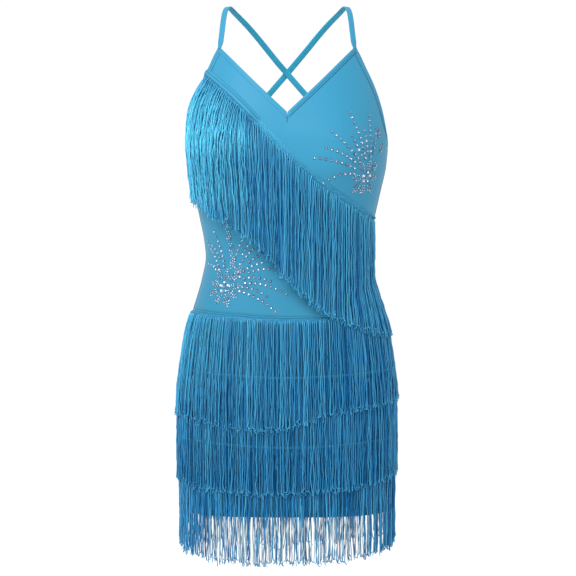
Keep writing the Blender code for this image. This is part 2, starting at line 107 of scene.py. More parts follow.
FOLD_LENGTH = 0.014             # length of the diagonal trim's folded end
FOLD_PITCH = 0.0011             # and the pitch of the strands there
# Waves of a strand's own, as mean length and height, and waves that it shares with its neighbours, as their
# lengths along the trim and down the strands
OWN_WAVES = ((0.045, 0.00040), (0.016, 0.00018))
SLOW_WAVES = ((0.031, 0.073, 0.017), (0.31, 0.19, 0.23))
BUNCH_WAVES = ((0.0071, 0.0113), (0.047, 0.083))
LENGTH_WAVES = ((0.041, 0.097, 0.019), (1, 1, 1))
BUNCH_WAVE_HEIGHT = 0.0006
DRIFT_FALL = 0.15               # the drift's setting is for this much fall
DRAW_RUN = 0.030                # distance down the strands over which they draw into their bunches
FREE_RUN = 0.03                 # and over which they come free of the head
HOOK_RUN = 0.0045               # and over which their hook at the head dies away
HOOK_OUT = 0.0004               # how far the hook stands out
CURL_ASIDE, CURL_OUT, CURL_UP = 0.0042, 0.0018, 0.0050      # how far a tip curls each way
FLARE_RUN = (0.040, 0.050, 0.120)   # a flare is full between the first two distances, and ends at the third
SHADE_SCATTER = 0.15            # how unevenly the strands are dyed
TIP_SHADE = 0.3                 # how much lighter a tip is drawn, as a painted highlight where its curl catches the light
PALE_BEHIND = 0.6               # how pale the strands behind are drawn below the hem, as painted back light
PALE_HEIGHTS = (HEM - 0.008, HEM - 0.001)   # fully pale below the first, and not from the second up
PALE_WIDTHS = (0.105, 0.130)    # and fully pale up to the first distance from the centre

# Rows of strands of each fringe, from the cloth outwards: how far a row stands out, how light it is drawn
# (the inner rows darker as painted shade deep in the fringe), how far its strands are drawn into bunches, its
# pitch beside the fringe's and how pale it is below the hem, as painted back light
Row = namedtuple("Row", "rise shade pull_least pull_most pitch_share pale")
TIER_ROWS = (
    Row(-0.0013, 0.03, 0.0, 0.3, 1.0, 0.0), Row(-0.0003, 0.20, 0.0, 0.4, 1.0, 0.0),
    Row(0.0007, 0.42, 0.0, 0.4, 1.15, 0.0),
)
HEM_ROWS = (
    Row(-0.0010, 0.18, 0.6, 0.9, 1.4, 0.06), Row(-0.0003, 0.27, 0.6, 0.9, 1.4, 0.06),
    Row(0.0004, 0.35, 0.6, 0.9, 1.6, 0.70),
)
DIAGONAL_ROWS = (
    Row(-0.0013, 0.02, 0.0, 0.3, 0.95, 0.0), Row(-0.0003, 0.26, 0.0, 0.5, 0.85, 0.0),
    Row(0.0007, 0.56, 0.0, 0.5, 1.15, 0.0),
)

# Trims' heads in section: distance below the seam, and height off the form
DIAGONAL_HEAD = (
    (-0.0014, -0.0003), (0.0004, 0.0004), (0.0026, 0.0010),
    (0.0062, 0.0015), (0.0084, 0.0015), (0.0090, 0.0003),
)
SKIRT_HEAD = (
    (0.0000, 0.0000), (0.0006, 0.0011), (0.0024, 0.0015),
    (0.0055, 0.0016), (0.0074, 0.0014), (0.0080, 0.0002),
)
FACING_PROFILE = (
    (-0.0040, 0.0001), (-0.0018, 0.0006), (-0.0002, 0.0018),
    (0.0012, 0.0026), (0.0044, 0.0028), (0.0056, 0.0022),
)
# Yarns that run to and fro over a head: their middle and width across it are measured from the seam
Yarn = namedtuple("Yarn", "name middle width pitch thickness shade out")
DIAGONAL_YARNS = (
    Yarn("lace_a", -0.0006, 0.0030, 0.0031, 0.50, 0.95, -0.0001),
    Yarn("lace_b", 0.0012, 0.0036, 0.0027, 0.55, 0.30, 0.0001),
    Yarn("lace_c", 0.0029, 0.0036, 0.0033, 0.60, 1.20, 0.0001),
    Yarn("lace_d", 0.0046, 0.0038, 0.0029, 0.60, 0.20, 0.0001),
    Yarn("lace_e", 0.0061, 0.0036, 0.0036, 0.65, 1.05, 0.0002),
    Yarn("lace_f", 0.0074, 0.0034, 0.0030, 0.60, 0.35, 0.0002),
)
SKIRT_YARNS = (
    Yarn("lace_a", 0.0036, 0.0056, 0.0031, 0.65, 0.10, 0.0000),
    Yarn("lace_b", 0.0038, 0.0046, 0.0042, 0.60, 0.95, 0.0001),
)
HEAD_SHADE = 0.55
HEAD_STEPS = 240                # sections of a head that runs right round the dress
HEAD_THICKNESS = 0.0005
FACING_THICKNESS = 0.0008
# Angles from the start of the diagonal seam to the starts of the trim, the facing and its twin stitches, and
# from the trim's other end to the side
TRIM_START, FACING_START, TWIN_STITCH_START, TRIM_SIDE_GAP = 0.01, 0.004, 0.010, 0.002
TWIN_STITCH_END = -0.038        # the upper panel laps over the diagonal trim's head up to this x
SEWN_HEIGHT = -0.170            # and the trim's height there, roughly
# Threads that hold the strands over a trim below: height above the trim, and how far off the strands
HOLDING_THREADS = ((0.0052, 0.0004), (0.0035, 0.0))

# The form: horizontal sections from the shoulders down to below the hem
Section = namedtuple("Section", "height half_width front back power")
SECTIONS = [Section(*row) for row in (
    (0.000, 0.0960, 0.060, 0.055, 2.20),
    (-0.066, 0.1130, 0.082, 0.078, 2.20),
    (-0.103, 0.1270, 0.092, 0.086, 2.20),
    (-0.137, 0.1380, 0.100, 0.091, 2.20),
    (-0.165, 0.1435, 0.106, 0.094, 2.20),
    (-0.197, 0.1460, 0.112, 0.095, 2.25),
    (-0.230, 0.1435, 0.113, 0.093, 2.30),
    (-0.265, 0.1360, 0.106, 0.089, 2.30),
    (-0.305, 0.1270, 0.098, 0.084, 2.30),
    (-0.345, 0.1195, 0.092, 0.081, 2.30),
    (-0.362, 0.1180, 0.091, 0.081, 2.30),
    (-0.395, 0.1238, 0.093, 0.085, 2.30),
    (-0.420, 0.1308, 0.096, 0.092, 2.30),
    (-0.445, 0.1386, 0.099, 0.100, 2.30),
    (-0.470, 0.1450, 0.102, 0.107, 2.30),
    (-0.500, 0.1490, 0.105, 0.112, 2.30),
    (-0.530, 0.1530, 0.107, 0.115, 2.30),
    (-0.560, 0.1555, 0.108, 0.116, 2.30),
    (-0.600, 0.1560, 0.108, 0.114, 2.30),
    (-0.650, 0.1540, 0.107, 0.110, 2.30),
    (-0.700, 0.1515, 0.106, 0.107, 2.30),
    (-0.730, 0.1503, 0.106, 0.106, 2.30),
    (-0.820, 0.1495, 0.106, 0.106, 2.30),
)]

# The shape that the darts give the bust: how far the form swells, and where
Swell = namedtuple("Swell", "out angle spread height above below")
BUST = Swell(0.011, math.radians(36), math.radians(20), -0.212, 0.062, 0.048)

# Edges and seams as drawn from the front or the back: distance from the centre, and height
ARMHOLE = (
    (0.0992, STRAP_CORNER), (0.1040, -0.072), (0.1124, -0.090), (0.1240, -0.114), (0.1326, -0.137),
    (0.1384, -0.158), (0.1421, -0.176), (0.1443, -0.187), (0.1456, -0.195), (0.1460, UNDERARM),
)
DIAGONAL = (
    (-0.1250, -0.086), (-0.1120, -0.098), (-0.0740, -0.133), (-0.0350, -0.173),
    (0.0070, -0.215), (0.0460, -0.251), (0.0960, -0.286), (0.1265, -0.307),
)
BACK_EDGE = (
    (0.0000, -0.226), (0.0300, -0.221), (0.0600, -0.207), (0.0850, -0.196),
    (0.1150, -0.194), (0.1360, -0.198), (0.1460, UNDERARM),
)
EDGE_STEPS = 240
BAND_STEP = 0.004               # distance between the sections of a binding
BAND_SIDES = 16                 # corners of a binding's or strap's section
CENTRE_GAP = 0.00015            # half the gap between the neckline's two bindings at the front centre

# The strap on the +X side, along its middle: x, y and z, and the way its outer face looks
STRAP = np.array((
    (0.0953, -0.0440, -0.0540, 0.66, -0.72, 0.20),
    (0.0938, -0.0360, -0.0395, 0.62, -0.70, 0.36),
    (0.0922, -0.0260, -0.0225, 0.54, -0.58, 0.61),
    (0.0900, -0.0130, -0.0080, 0.34, -0.34, 0.88),
    (0.0855, 0.0030, 0.0005, 0.08, 0.08, 0.99),
    (0.0745, 0.0240, -0.0085, 0.10, 0.46, 0.88),
    (0.0600, 0.0420, -0.0220, 0.12, 0.66, 0.74),
    (0.0460, 0.0570, -0.0370, 0.10, 0.77, 0.63),
    (0.0290, 0.0700, -0.0570, 0.06, 0.86, 0.50),
    (0.0145, 0.0790, -0.0740, 0.03, 0.92, 0.37),
))
# And as it runs on over the back cloth: distance from the centre, and height
STRAP_ON_BACK = ((0.0000, -0.0910), (-0.0145, -0.1075), (-0.0290, -0.1240), (-0.0580, -0.1570))
STRAP_LIFT = 0.0026             # how far the strap lies off the form at the back
STRAP_END_LIFT = 0.0009         # and at its end
STRAP_TURN = (0.75, 1.15, 1.0)      # how the lower strap is turned to face the front
STRAP_TURN_Y = (-0.036, 0.003)      # it is turned up to the first y, and no more from the second on
STRAP_START_WIDTH = BINDING_WIDTH + 0.0012
STRAP_TAPER = 0.012             # length over which the strap takes its own width and turn
STRAP_END_X = -0.0850           # where the right strap ends on the back edge
STRAP_STEPS = 110
CROSSING = (0.010, 0.034)       # the straps are parted up to the first x, and no more from the second on

# Sprays of stones. A row starts in one direction and ends in another, and goes from one distance to another
# from the flower; a leaflet has one direction and a start. Directions: degrees, 0 to the right and 90 up.
Spray = namedtuple("Spray", "x height petals first_petal rows leaflets")
BUST_SPRAY = Spray(
    0.1115, -0.2475, 8, 0,
    (
        (170, 188, 0.026, 0.072), (156, 164, 0.030, 0.094), (144, 150, 0.036, 0.080),
        (132, 134, 0.028, 0.092), (120, 119, 0.036, 0.068), (109, 105, 0.028, 0.100),
        (98, 95, 0.036, 0.072), (87, 83, 0.029, 0.088), (76, 71, 0.035, 0.076),
    ),
    ((66, 0.060), (52, 0.042)),
)
WAIST_SPRAY = Spray(
    -0.0890, -0.4035, 9, 6,
    (
        (-12, -24, 0.026, 0.086), (1, -12, 0.029, 0.068), (11, -6, 0.026, 0.092), (22, 4, 0.033, 0.076),
        (32, 16, 0.028, 0.090), (39, 30, 0.037, 0.072), (47, 36, 0.030, 0.092), (55, 50, 0.040, 0.078),
        (62, 56, 0.032, 0.096), (71, 66, 0.042, 0.084), (100, 106, 0.030, 0.086), (109, 120, 0.037, 0.070),
        (119, 126, 0.028, 0.080), (131, 146, 0.032, 0.056),
    ),
    ((74, 0.028), (81, 0.045), (85, 0.062), (87, 0.079), (48, 0.021)),
)
HEARTS = 5                      # stones round the one in the middle of a flower
HEART_RING = 0.0066             # radius of their ring
HEART_TURN = 20                 # direction of the first of them, in degrees
MIDDLE_SIZE = 0.7               # size of the stone in the middle beside theirs
PETAL_STARTS = (0.0085, 0.0115)     # distances from the flower's middle at which petals start, by turns
PETAL_SWAY = 4                  # how far a petal's direction may stray, in degrees
# Width of a petal beside its length, and the beads' spacing beside their diameter, for petals and leaflets
PETAL_SHAPE = (0.48, 1.36)
LEAFLET_SHAPE = (0.42, 1.42)
ROW_SIZES = (1.08, 0.25)        # size of a row's first stone, and how much smaller its last one is
SINGLE_SIZE = 0.85              # size of the single stones
STONE_TILT = 0.10               # how unevenly the stones are set
TOUCHING = 0.6                  # share of two stones' sizes at which they would touch
EXTRA_STONES = (                # single stones: x and height, as drawn from the front
    (0.0440, -0.372), (0.1160, -0.394), (0.0240, -0.352),
    (-0.1080, -0.352), (-0.0980, -0.338), (0.1210, -0.366),
)
# Kinds of stone: the colours of their facets, dark to light, drawn as painted glints and reflections; facets
# round them, or None for the setting's;
# height of the crown and width of the table, beside the stone's radius and width; painted brightness, from
# and to
Cut = namedtuple("Cut", "material colours roughness facets crown table spark")
STONE = Cut(
    "foiled_glass", ("1A3E54", "4A5F7C", "7C8FA4", "B4CBD8", "E6F0F4"), 0.30, None, 0.62, 0.46, (0.72, 1.16)
)
STUD = Cut("rosy_studs", ("142C3A", "4A566E", "CACCD8", "FFFFFF"), 0.38, 6, 0.7, 0.54, (0.50, 1.30))


def rgb(code):
    """Linear red, green and blue of an sRGB hex colour."""
    parts = [int(code[i:i + 2], 16) / 255 for i in (0, 2, 4)]
    return tuple(part / 12.92 if part <= 0.04045 else ((part + 0.055) / 1.055) ** 2.4 for part in parts)


def length_setting(name, description, default, least, most):
    """A setting that is a length in metres."""
    return FloatProperty(
        name=name, description=description, default=default, min=least, max=most, precision=5, unit="LENGTH"
    )


def colour_setting(name, description, code):
    """A setting that is a colour."""
    return FloatVectorProperty(
        name=name, description=description, subtype="COLOR", default=rgb(code), min=0.0, max=1.0
    )


class ClothSettings(PropertyGroup):
    thickness: length_setting("Knit thickness", "Thickness of the stretch knit", 0.0012, 0.0008, 0.002)
    binding_proud: length_setting(
        "Binding height", "How far the bindings stand out beyond the panels", 0.0006, 0.0, 0.0015
    )
    underlap: length_setting("Underlap", "How far the panels run on under the bindings", 0.0030, 0.0, 0.006)
    colour: colour_setting("Knit colour", "Colour of the dyed knit", "277999")


class FringeSettings(PropertyGroup):
    radius: length_setting("Strand radius", "Radius of one strand of chainette", 0.00062, 0.0004, 0.0015)
    sides: IntProperty(
        name="Strand sides", description="Sides of a strand's section", default=3, min=3, max=4
    )
    tier_pitch: length_setting(
        "Skirt pitch", "Distance between neighbouring strands of one row on the skirt", 0.0025, 0.002, 0.010
    )
    diagonal_pitch: length_setting(
        "Diagonal pitch", "Distance between neighbouring strands of one row on the diagonal trim",
        0.0028, 0.002, 0.010
    )
    clump: length_setting(
        "Clump width", "Mean width of the bunches that the strands draw into", 0.0034, 0.002, 0.012
    )
    hem_clump: length_setting(
        "Hem clump width", "Mean width of the bunches of the strands that hang below the hem",
        0.0060, 0.002, 0.012
    )
    drift: length_setting("Drift", "How far the strands stray sideways over 15 cm of fall", 0.0022, 0.0, 0.01)
    light: colour_setting("Light strand", "Colour of the lightest strands", "4CA9CC")
    dark: colour_setting("Dark strand", "Colour of the darkest strands", "00478A")
    seed: IntProperty(name="Seed", description="Seed of everything random in the fringe", default=7, min=0)


class TrimSettings(PropertyGroup):
    light: colour_setting("Light yarn", "Colour of the lightest yarn of the trims' heads", "3D8CAE")
    dark: colour_setting("Dark yarn", "Colour of the darkest yarn of the trims' heads", "0C5680")


class SewingSettings(PropertyGroup):
    stitch: length_setting("Stitch length", "Length of one stitch that shows", 0.0024, 0.001, 0.005)
    gap: length_setting("Stitch gap", "Distance from one stitch to the next", 0.0006, 0.0, 0.003)
    thread: length_setting("Thread radius", "Radius of the sewing thread", 0.00034, 0.0001, 0.0006)
    colour: colour_setting("Thread colour", "Colour of the sewing thread", "0E4A6C")


class StoneSettings(PropertyGroup):
    stone: length_setting("Stone diameter", "Diameter of the rhinestones in the rows", 0.0049, 0.001, 0.006)
    heart: length_setting(
        "Heart stone diameter", "Diameter of the stones in the middle of a flower", 0.0062, 0.001, 0.008
    )
    bead: length_setting("Bead diameter", "Diameter of the studs that fill the petals", 0.0025, 0.0005, 0.003)
    spacing: length_setting(
        "Row spacing", "Distance between neighbouring stones of a row", 0.0073, 0.003, 0.012
    )
    petal: length_setting("Petal length", "Length of a petal", 0.0160, 0.005, 0.03)
    facets: IntProperty(name="Facets", description="Facets round a stone", default=8, min=5, max=12)
    seed: IntProperty(name="Seed", description="Seed of the turns and glints of the stones", default=3, min=0)


class StageSettings(PropertyGroup):
    distance: length_setting(
        "Camera distance", "Distance of the camera in front of the dress", 2.6, 1.0, 10.0
    )
    height: length_setting("Camera height", "Height of the camera", -0.28, -2.0, 2.0)
    aim: length_setting("Aim height", "Height that the camera looks at", -0.4085, -2.0, 1.0)
    lens: FloatProperty(
        name="Focal length", description="Focal length on a 36 mm sensor, in millimetres",
        default=111.3, min=20.0, max=300.0,
    )
    floor: length_setting("Floor height", "Height of the floor below a wearer's shoulders", -1.35, -3.0, -0.8)
    ambience: FloatProperty(
        name="Ambient light", description="Strength of the even light", default=1.02, min=0.0
    )
    key: FloatProperty(
        name="Key light", description="Power of the soft light at the front left",
        default=80.0, min=0.0, unit="POWER",
    )


SETTINGS = {
    "dress_cloth": ClothSettings,
    "dress_fringe": FringeSettings,
    "dress_trim": TrimSettings,
    "dress_sewing": SewingSettings,
    "dress_stones": StoneSettings,
    "dress_stage": StageSettings,
}


# ---------------------------------------------------------------------------------------------------------
# The form that all the cloth lies on

UP = np.array([0.0, 0.0, 1.0])
LEVEL = np.array([1.0, 1.0, 0.0])       # leaves the level part of a direction


def smooth_curve(knots, values):
    """A curve through the values that never overshoots them (a monotone cubic)."""
    knots, values = np.array(knots, float), np.array(values, float)
    steps = np.diff(knots)
    slopes = np.diff(values) / steps
    tangents = np.concatenate(([slopes[0]], np.zeros(len(slopes) - 1), [slopes[-1]]))
    for i in range(1, len(slopes)):
        if slopes[i - 1] * slopes[i] > 0:
            near = 2 * steps[i] + steps[i - 1]
            far = steps[i] + 2 * steps[i - 1]
            tangents[i] = (near + far) / (near / slopes[i - 1] + far / slopes[i])

    def at(place):
        place = np.clip(place, knots[0], knots[-1])
        i = np.clip(np.searchsorted(knots, place) - 1, 0, len(steps) - 1)
        t = (place - knots[i]) / steps[i]
        return (
            (2 * t**3 - 3 * t**2 + 1) * values[i]
            + (t**3 - 2 * t**2 + t) * steps[i] * tangents[i]
            + (3 * t**2 - 2 * t**3) * values[i + 1]
            + (t**3 - t**2) * steps[i] * tangents[i + 1]
        )

    return at


def smooth_path(places, points, stops):
    """Points at the stops of a smooth path through points at places along it."""
    return np.stack([smooth_curve(places, column)(stops) for column in points.T], axis=-1)


HALF_WIDTH, FRONT, BACK, POWER = (
    smooth_curve([-section.height for section in SECTIONS], [getattr(section, name) for section in SECTIONS])
    for name in ("half_width", "front", "back", "power")
)


def form_radius(angle, height):
    """Distance from the Z axis to the form: a superellipse, swollen at the bust."""
    angle = (np.asarray(angle, float) + math.pi) % (2 * math.pi) - math.pi
    depth = np.where(np.cos(angle) > 0, FRONT(-height), BACK(-height))
    power = POWER(-height)
    across = np.abs(np.sin(angle) / HALF_WIDTH(-height)) ** power
    along = np.abs(np.cos(angle) / depth) ** power
    reach = np.where(height > BUST.height, BUST.above, BUST.below)
    swell = np.exp(-(((height - BUST.height) / reach) ** 2))
    swell = swell * np.exp(-(((np.abs(angle) - BUST.angle) / BUST.spread) ** 2))
    return (across + along) ** (-1 / power) + BUST.out * swell


def directions(angle):
    """The level directions straight out from the Z axis and round it, at an angle."""
    outwards = np.stack((np.sin(angle), -np.cos(angle), np.zeros_like(angle)), axis=-1)
    sideways = np.stack((np.cos(angle), np.sin(angle), np.zeros_like(angle)), axis=-1)
    return outwards, sideways


def unit(vectors):
    return vectors / np.linalg.norm(vectors, axis=-1, keepdims=True)


def form_normal(angle, height):
    """The way the form faces, from the slopes of its radius."""
    angle, height = np.broadcast_arrays(np.asarray(angle, float), np.asarray(height, float))
    step = 1e-4
    radius = form_radius(angle, height)
    around = (form_radius(angle + step, height) - form_radius(angle - step, height)) / (2 * step * radius)
    up = (form_radius(angle, height + step) - form_radius(angle, height - step)) / (2 * step)
    outwards, sideways = directions(angle)
    return unit(outwards - around[..., None] * sideways - up[..., None] * UP)


def on_form(angle, height, out=0.0):
    """Points of the form at an angle and a height, moved out along the form's normal."""
    angle, height = np.broadcast_arrays(np.asarray(angle, float), np.asarray(height, float))
    radius = form_radius(angle, height)
    points = np.stack((radius * np.sin(angle), -radius * np.cos(angle), height), axis=-1)
    return points + np.asarray(out)[..., None] * form_normal(angle, height)


def angle_at(x, height, back=False):
    """The angle at which the form is x from the centre, seen from the front or the back."""
    x, height = np.broadcast_arrays(np.asarray(x, float), np.asarray(height, float))
    low, high = np.zeros(x.shape), np.full(x.shape, math.pi / 2)
    for _ in range(40):
        middle = (low + high) / 2
        seen = math.pi - middle if back else middle
        inside = form_radius(seen, height) * np.sin(middle) < np.abs(x)
        low, high = np.where(inside, middle, low), np.where(inside, high, middle)
    angle = np.copysign(low, x)
    return math.pi - angle if back else angle


def run_along(points):
    """Distance along a path to each of its points."""
    steps = np.linalg.norm(np.diff(points, axis=0), axis=-1)
    return np.concatenate(([0.0], np.cumsum(steps)))


def run_on_form(line):
    """Distance over the form to each place of a line."""
    return run_along(on_form(*line.T))


def along_line(stops, run, line):
    """Angles and heights at stops along a line, given the run to each of its places."""
    return [np.interp(stops, run, column) for column in line.T]


def marked_edge(marks, back=False):
    """A fine line of places along a row of marks, in order of growing angle."""
    marks = np.array(marks, float)
    run = run_along(marks)
    x, height = smooth_path(run, marks, np.linspace(0, run[-1], EDGE_STEPS + 1)).T
    line = np.column_stack((angle_at(x, height, back), height))
    return line[np.argsort(line[:, 0], kind="stable")]


def inset(line, distance):
    """The line moved by a distance over the cloth, down or to the side, square to itself."""
    angle, height = line.T
    ends = np.vstack((line[:1], line, line[-1:]))
    step = ends[2:] - ends[:-2]
    radius = form_radius(angle, height)
    along, up = step[:, 0] * radius, step[:, 1]
    length = np.hypot(along, up)
    return np.column_stack((angle + distance * up / length / radius, height - distance * along / length))


def height_along(line):
    """Height of a line as a function of the angle, running on straight past its two ends."""
    angles, heights = line.T

    def at(angle):
        first = (heights[1] - heights[0]) / max(angles[1] - angles[0], 1e-6)
        last = (heights[-1] - heights[-2]) / max(angles[-1] - angles[-2], 1e-6)
        inside = np.interp(angle, angles, heights)
        before = heights[0] + first * (angle - angles[0])
        after = heights[-1] + last * (angle - angles[-1])
        return np.where(angle < angles[0], before, np.where(angle > angles[-1], after, inside))

    return at


def neckline_marks():
    """The right half of the neckline: almost straight, and run on past the strap."""
    run_on = 1.25
    middle = (STRAP_CORNER_X / 2, (NECK_POINT + STRAP_CORNER) / 2 - NECK_SAG)
    past = (STRAP_CORNER_X * run_on, NECK_POINT + (STRAP_CORNER - NECK_POINT) * run_on)
    return ((0.0, NECK_POINT), middle, (STRAP_CORNER_X, STRAP_CORNER), past)


def tier_height(top, angle):
    """Height of a seam or trim round the skirt, a little higher at the sides."""
    return top + SIDE_RISE * np.sin(angle) ** 2


def waist_height(angle):
    return tier_height(WAIST_SEAM, angle)


def hem_height(angle):
    return HEM - HEM_DROOP * np.sin(angle) ** 2


def mirrored(line):
    """The same line on the other side of the front centre."""
    return np.column_stack((-line[::-1, 0], line[::-1, 1]))


def once_round(line):
    """A line right round the dress, with its first place again at the end."""
    return np.vstack((line, [line[0, 0] + 2 * math.pi, line[0, 1]]))


def round_line(top, count):
    """A line right round the dress at a tier's height, without its first place again at the end."""
    angles = np.linspace(-math.pi, math.pi, count, endpoint=False)
    return np.column_stack((angles, tier_height(top, angles)))


def even_stops(line, step):
    """Places about a step apart along a line, with the same distance between neighbours."""
    run = run_on_form(line)
    stops = np.linspace(0, run[-1], max(2, round(run[-1] / step) + 1))
    return np.column_stack(along_line(stops, run, line))


NECKLINE_EDGE = marked_edge(neckline_marks())
NECKLINE_EDGE_TO_STRAP = NECKLINE_EDGE[NECKLINE_EDGE[:, 0] <= angle_at(STRAP_CORNER_X, STRAP_CORNER)]
ARMHOLE_EDGE = marked_edge(ARMHOLE)
DIAGONAL_SEAM = marked_edge(DIAGONAL)
BACK_HALF = marked_edge(BACK_EDGE, back=True)
BACK_OTHER_HALF = np.column_stack((2 * math.pi - BACK_HALF[-2::-1, 0], BACK_HALF[-2::-1, 1]))
BACK_LINE = np.vstack((BACK_HALF, BACK_OTHER_HALF))


def front_top(width):
    """Height of the front cloth's top edge, once the neckline and armholes have given up a width."""
    neckline = height_along(inset(NECKLINE_EDGE, width))
    armhole = height_along(inset(ARMHOLE_EDGE, width))
    return lambda angle: np.minimum(neckline(np.abs(angle)), armhole(np.abs(angle)))


def diagonal_start():
    """Angle at which the diagonal seam leaves the left armhole's edge."""
    angles = np.linspace(-math.pi / 2, 0, 4000)
    clear = height_along(mirrored(ARMHOLE_EDGE))(angles) - height_along(DIAGONAL_SEAM)(angles)
    return float(angles[np.argmax(clear >= 0.001)])


def diagonal_line(distance, start, end, count):
    """A line along the diagonal seam at a distance below it, between two angles."""
    angles = np.linspace(start, end, count)
    return np.column_stack((angles, np.interp(angles, *inset(DIAGONAL_SEAM, distance).T)))


def blend(value, near, far):
    """1 up to near, 0 from far on, and smooth between them."""
    t = np.clip((far - value) / (far - near), 0.0, 1.0)
    return t * t * (3 - 2 * t)


# ---------------------------------------------------------------------------------------------------------
# Nodes and meshes


def set_inputs(tree, node, inputs):
    """Give inputs, by name or number, a plain value or a link from an output, or from a node's first one."""
    for name, value in inputs.items():
        if isinstance(value, bpy.types.Node):
            value = next(output for output in value.outputs if output.enabled)
        if isinstance(value, bpy.types.NodeSocket):
            tree.links.new(value, node.inputs[name])
        else:
            node.inputs[name].default_value = value


def add_node(tree, kind, label="", inputs=None, **settings):
    """Add a node with its settings, and then its inputs' values and links."""
    node = tree.nodes.new(kind)
    node.label = label
    node.location = (220 * (len(tree.nodes) % 8), -260 * (len(tree.nodes) // 8))
    for name, value in settings.items():
        setattr(node, name, value)
    set_inputs(tree, node, inputs or {})
    return node


def new_material(name):
    """A material, its node tree and its Principled shader."""
    material = bpy.data.materials.new(name)
    material.use_nodes = True
    tree = material.node_tree
    return material, tree, tree.nodes["Principled BSDF"]


def new_tree(name, inputs):
    """A geometry-node tree with a geometry input, the named inputs and a geometry output."""
    tree = bpy.data.node_groups.new(name, "GeometryNodeTree")
    tree.interface.new_socket("Geometry", in_out="INPUT", socket_type="NodeSocketGeometry")
    tree.interface.new_socket("Geometry", in_out="OUTPUT", socket_type="NodeSocketGeometry")
    for label, kind in inputs.items():
        tree.interface.new_socket(label, in_out="INPUT", socket_type=f"NodeSocket{kind}")
    return tree, add_node(tree, "NodeGroupInput"), add_node(tree, "NodeGroupOutput")


def tree_once(name, make):
    return bpy.data.node_groups.get(name) or make(name)


def material_once(name, make, *values):
    return bpy.data.materials.get(name) or make(name, *values)


def dress_collection():
    collection = bpy.data.collections.get("latin_dance_dress")
    if collection is None:
        collection = bpy.data.collections.new("latin_dance_dress")
        bpy.context.scene.collection.children.link(collection)
    return collection


def new_piece(name, mesh, material, nodes=()):
    """A piece of the dress at the origin, which rides on the body and stands for its nodes."""
    piece = bpy.data.objects.new(name, mesh)
    dress_collection().objects.link(piece)
    if material is not None:
        mesh.materials.append(material)
    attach(piece, BODY)
    for node in nodes:
        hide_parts(node)
    return piece


def thicken(piece, name, thickness, even=False):
    """Give a piece of cloth its thickness, inwards from its outer face."""
    wall = piece.modifiers.new(name, "SOLIDIFY")
    wall.thickness = thickness
    wall.offset = -1.0
    wall.use_even_offset = even


def quad_mesh(name, grid, closed_columns=False, closed_rows=False, caps=False, uv=None):
    """A smooth mesh of quads through a grid of points (columns, rows, 3)."""
    columns, rows = grid.shape[:2]
    index = np.arange(columns * rows).reshape(columns, rows)
    across = np.vstack((index, index[:1])) if closed_columns else index
    both = np.hstack((across, across[:, :1])) if closed_rows else across
    faces = np.stack((both[:-1, :-1], both[1:, :-1], both[1:, 1:], both[:-1, 1:]), axis=-1).reshape(-1, 4)
    loops = [tuple(face) for face in faces.tolist()]
    if caps:
        loops += [tuple(index[0].tolist()), tuple(index[-1, ::-1].tolist())]
    mesh = bpy.data.meshes.new(name)
    mesh.from_pydata(grid.reshape(-1, 3).tolist(), [], loops)
    if uv is not None:
        layer = mesh.uv_layers.new(name="cloth")
        corners = np.array([corner for face in loops for corner in face])
        layer.data.foreach_set("uv", uv.reshape(-1, 2)[corners].ravel())
    mesh.shade_smooth()
    return mesh


def add_attributes(mesh, attributes, shape):
    """Store float or vector attributes on the points, each one spread to the shape that the points have."""
    for label, values in attributes.items():
        values = np.asarray(values, float)
        if values.shape[-1:] == (3,) and values.ndim > len(shape):
            layer = mesh.attributes.new(label, "FLOAT_VECTOR", "POINT")
            layer.data.foreach_set("vector", np.broadcast_to(values, (*shape, 3)).ravel())
        else:
            layer = mesh.attributes.new(label, "FLOAT", "POINT")
            layer.data.foreach_set("value", np.broadcast_to(values, shape).ravel())


def path_mesh(name, paths, attributes):
    """Loose edges down each path (paths, points, 3), with attributes on the points."""
    count, steps = paths.shape[:2]
    mesh = bpy.data.meshes.new(name)
    mesh.vertices.add(count * steps)
    mesh.vertices.foreach_set("co", paths.ravel())
    first = (np.arange(count)[:, None] * steps + np.arange(steps - 1)[None, :]).ravel()
    mesh.edges.add(len(first))
    mesh.edges.foreach_set("vertices", np.column_stack((first, first + 1)).ravel())
    add_attributes(mesh, attributes, (count, steps))
    return mesh


def grown_piece(name, seed_mesh, tree, inputs, nodes=()):
    """A piece of the plain mesh that a geometry-node tree grows on a seed mesh."""
    seed = bpy.data.objects.new(name, seed_mesh)
    dress_collection().objects.link(seed)
    modifier = seed.modifiers.new("grow", "NODES")
    modifier.node_group = tree
    for item in tree.interface.items_tree:
        if item.in_out == "INPUT" and item.name in inputs:
            modifier[item.identifier] = inputs[item.name]
    depsgraph = bpy.context.evaluated_depsgraph_get()
    mesh = bpy.data.meshes.new_from_object(
        seed.evaluated_get(depsgraph), preserve_all_data_layers=True, depsgraph=depsgraph
    )
    seed.modifiers.remove(modifier)
    bpy.data.objects.remove(seed)
    bpy.data.meshes.remove(seed_mesh)
    mesh.name = name
    return new_piece(name, mesh, None, nodes)


def band_mesh(name, middles, across, looks, width, thickness):
    """A flat band with rounded edges along a path: its outer face lies on the path and faces the looks."""
    turns = np.linspace(0, 2 * math.pi, BAND_SIDES, endpoint=False)
    power = 2 / 3.6
    side = np.sign(np.cos(turns)) * np.abs(np.cos(turns)) ** power / 2
    depth = np.sign(np.sin(turns)) * np.abs(np.sin(turns)) ** power / 2 - 0.5
    width = np.broadcast_to(width, len(middles))
    grid = (
        middles[:, None]
        + across[:, None] * (side[None, :] * width[:, None])[..., None]
        + looks[:, None] * (depth * thickness)[None, :, None]
    )
    run = run_along(middles)
    place = np.stack(np.broadcast_arrays(run[:, None], (side * width[0])[None, :]), axis=-1)
    return quad_mesh(name, grid, closed_rows=True, caps=True, uv=place)


# ---------------------------------------------------------------------------------------------------------
# Materials


def opaque(colour, share=1.0):
    """A share of a linear colour, with full alpha."""
    return (*(share * part for part in colour), 1.0)


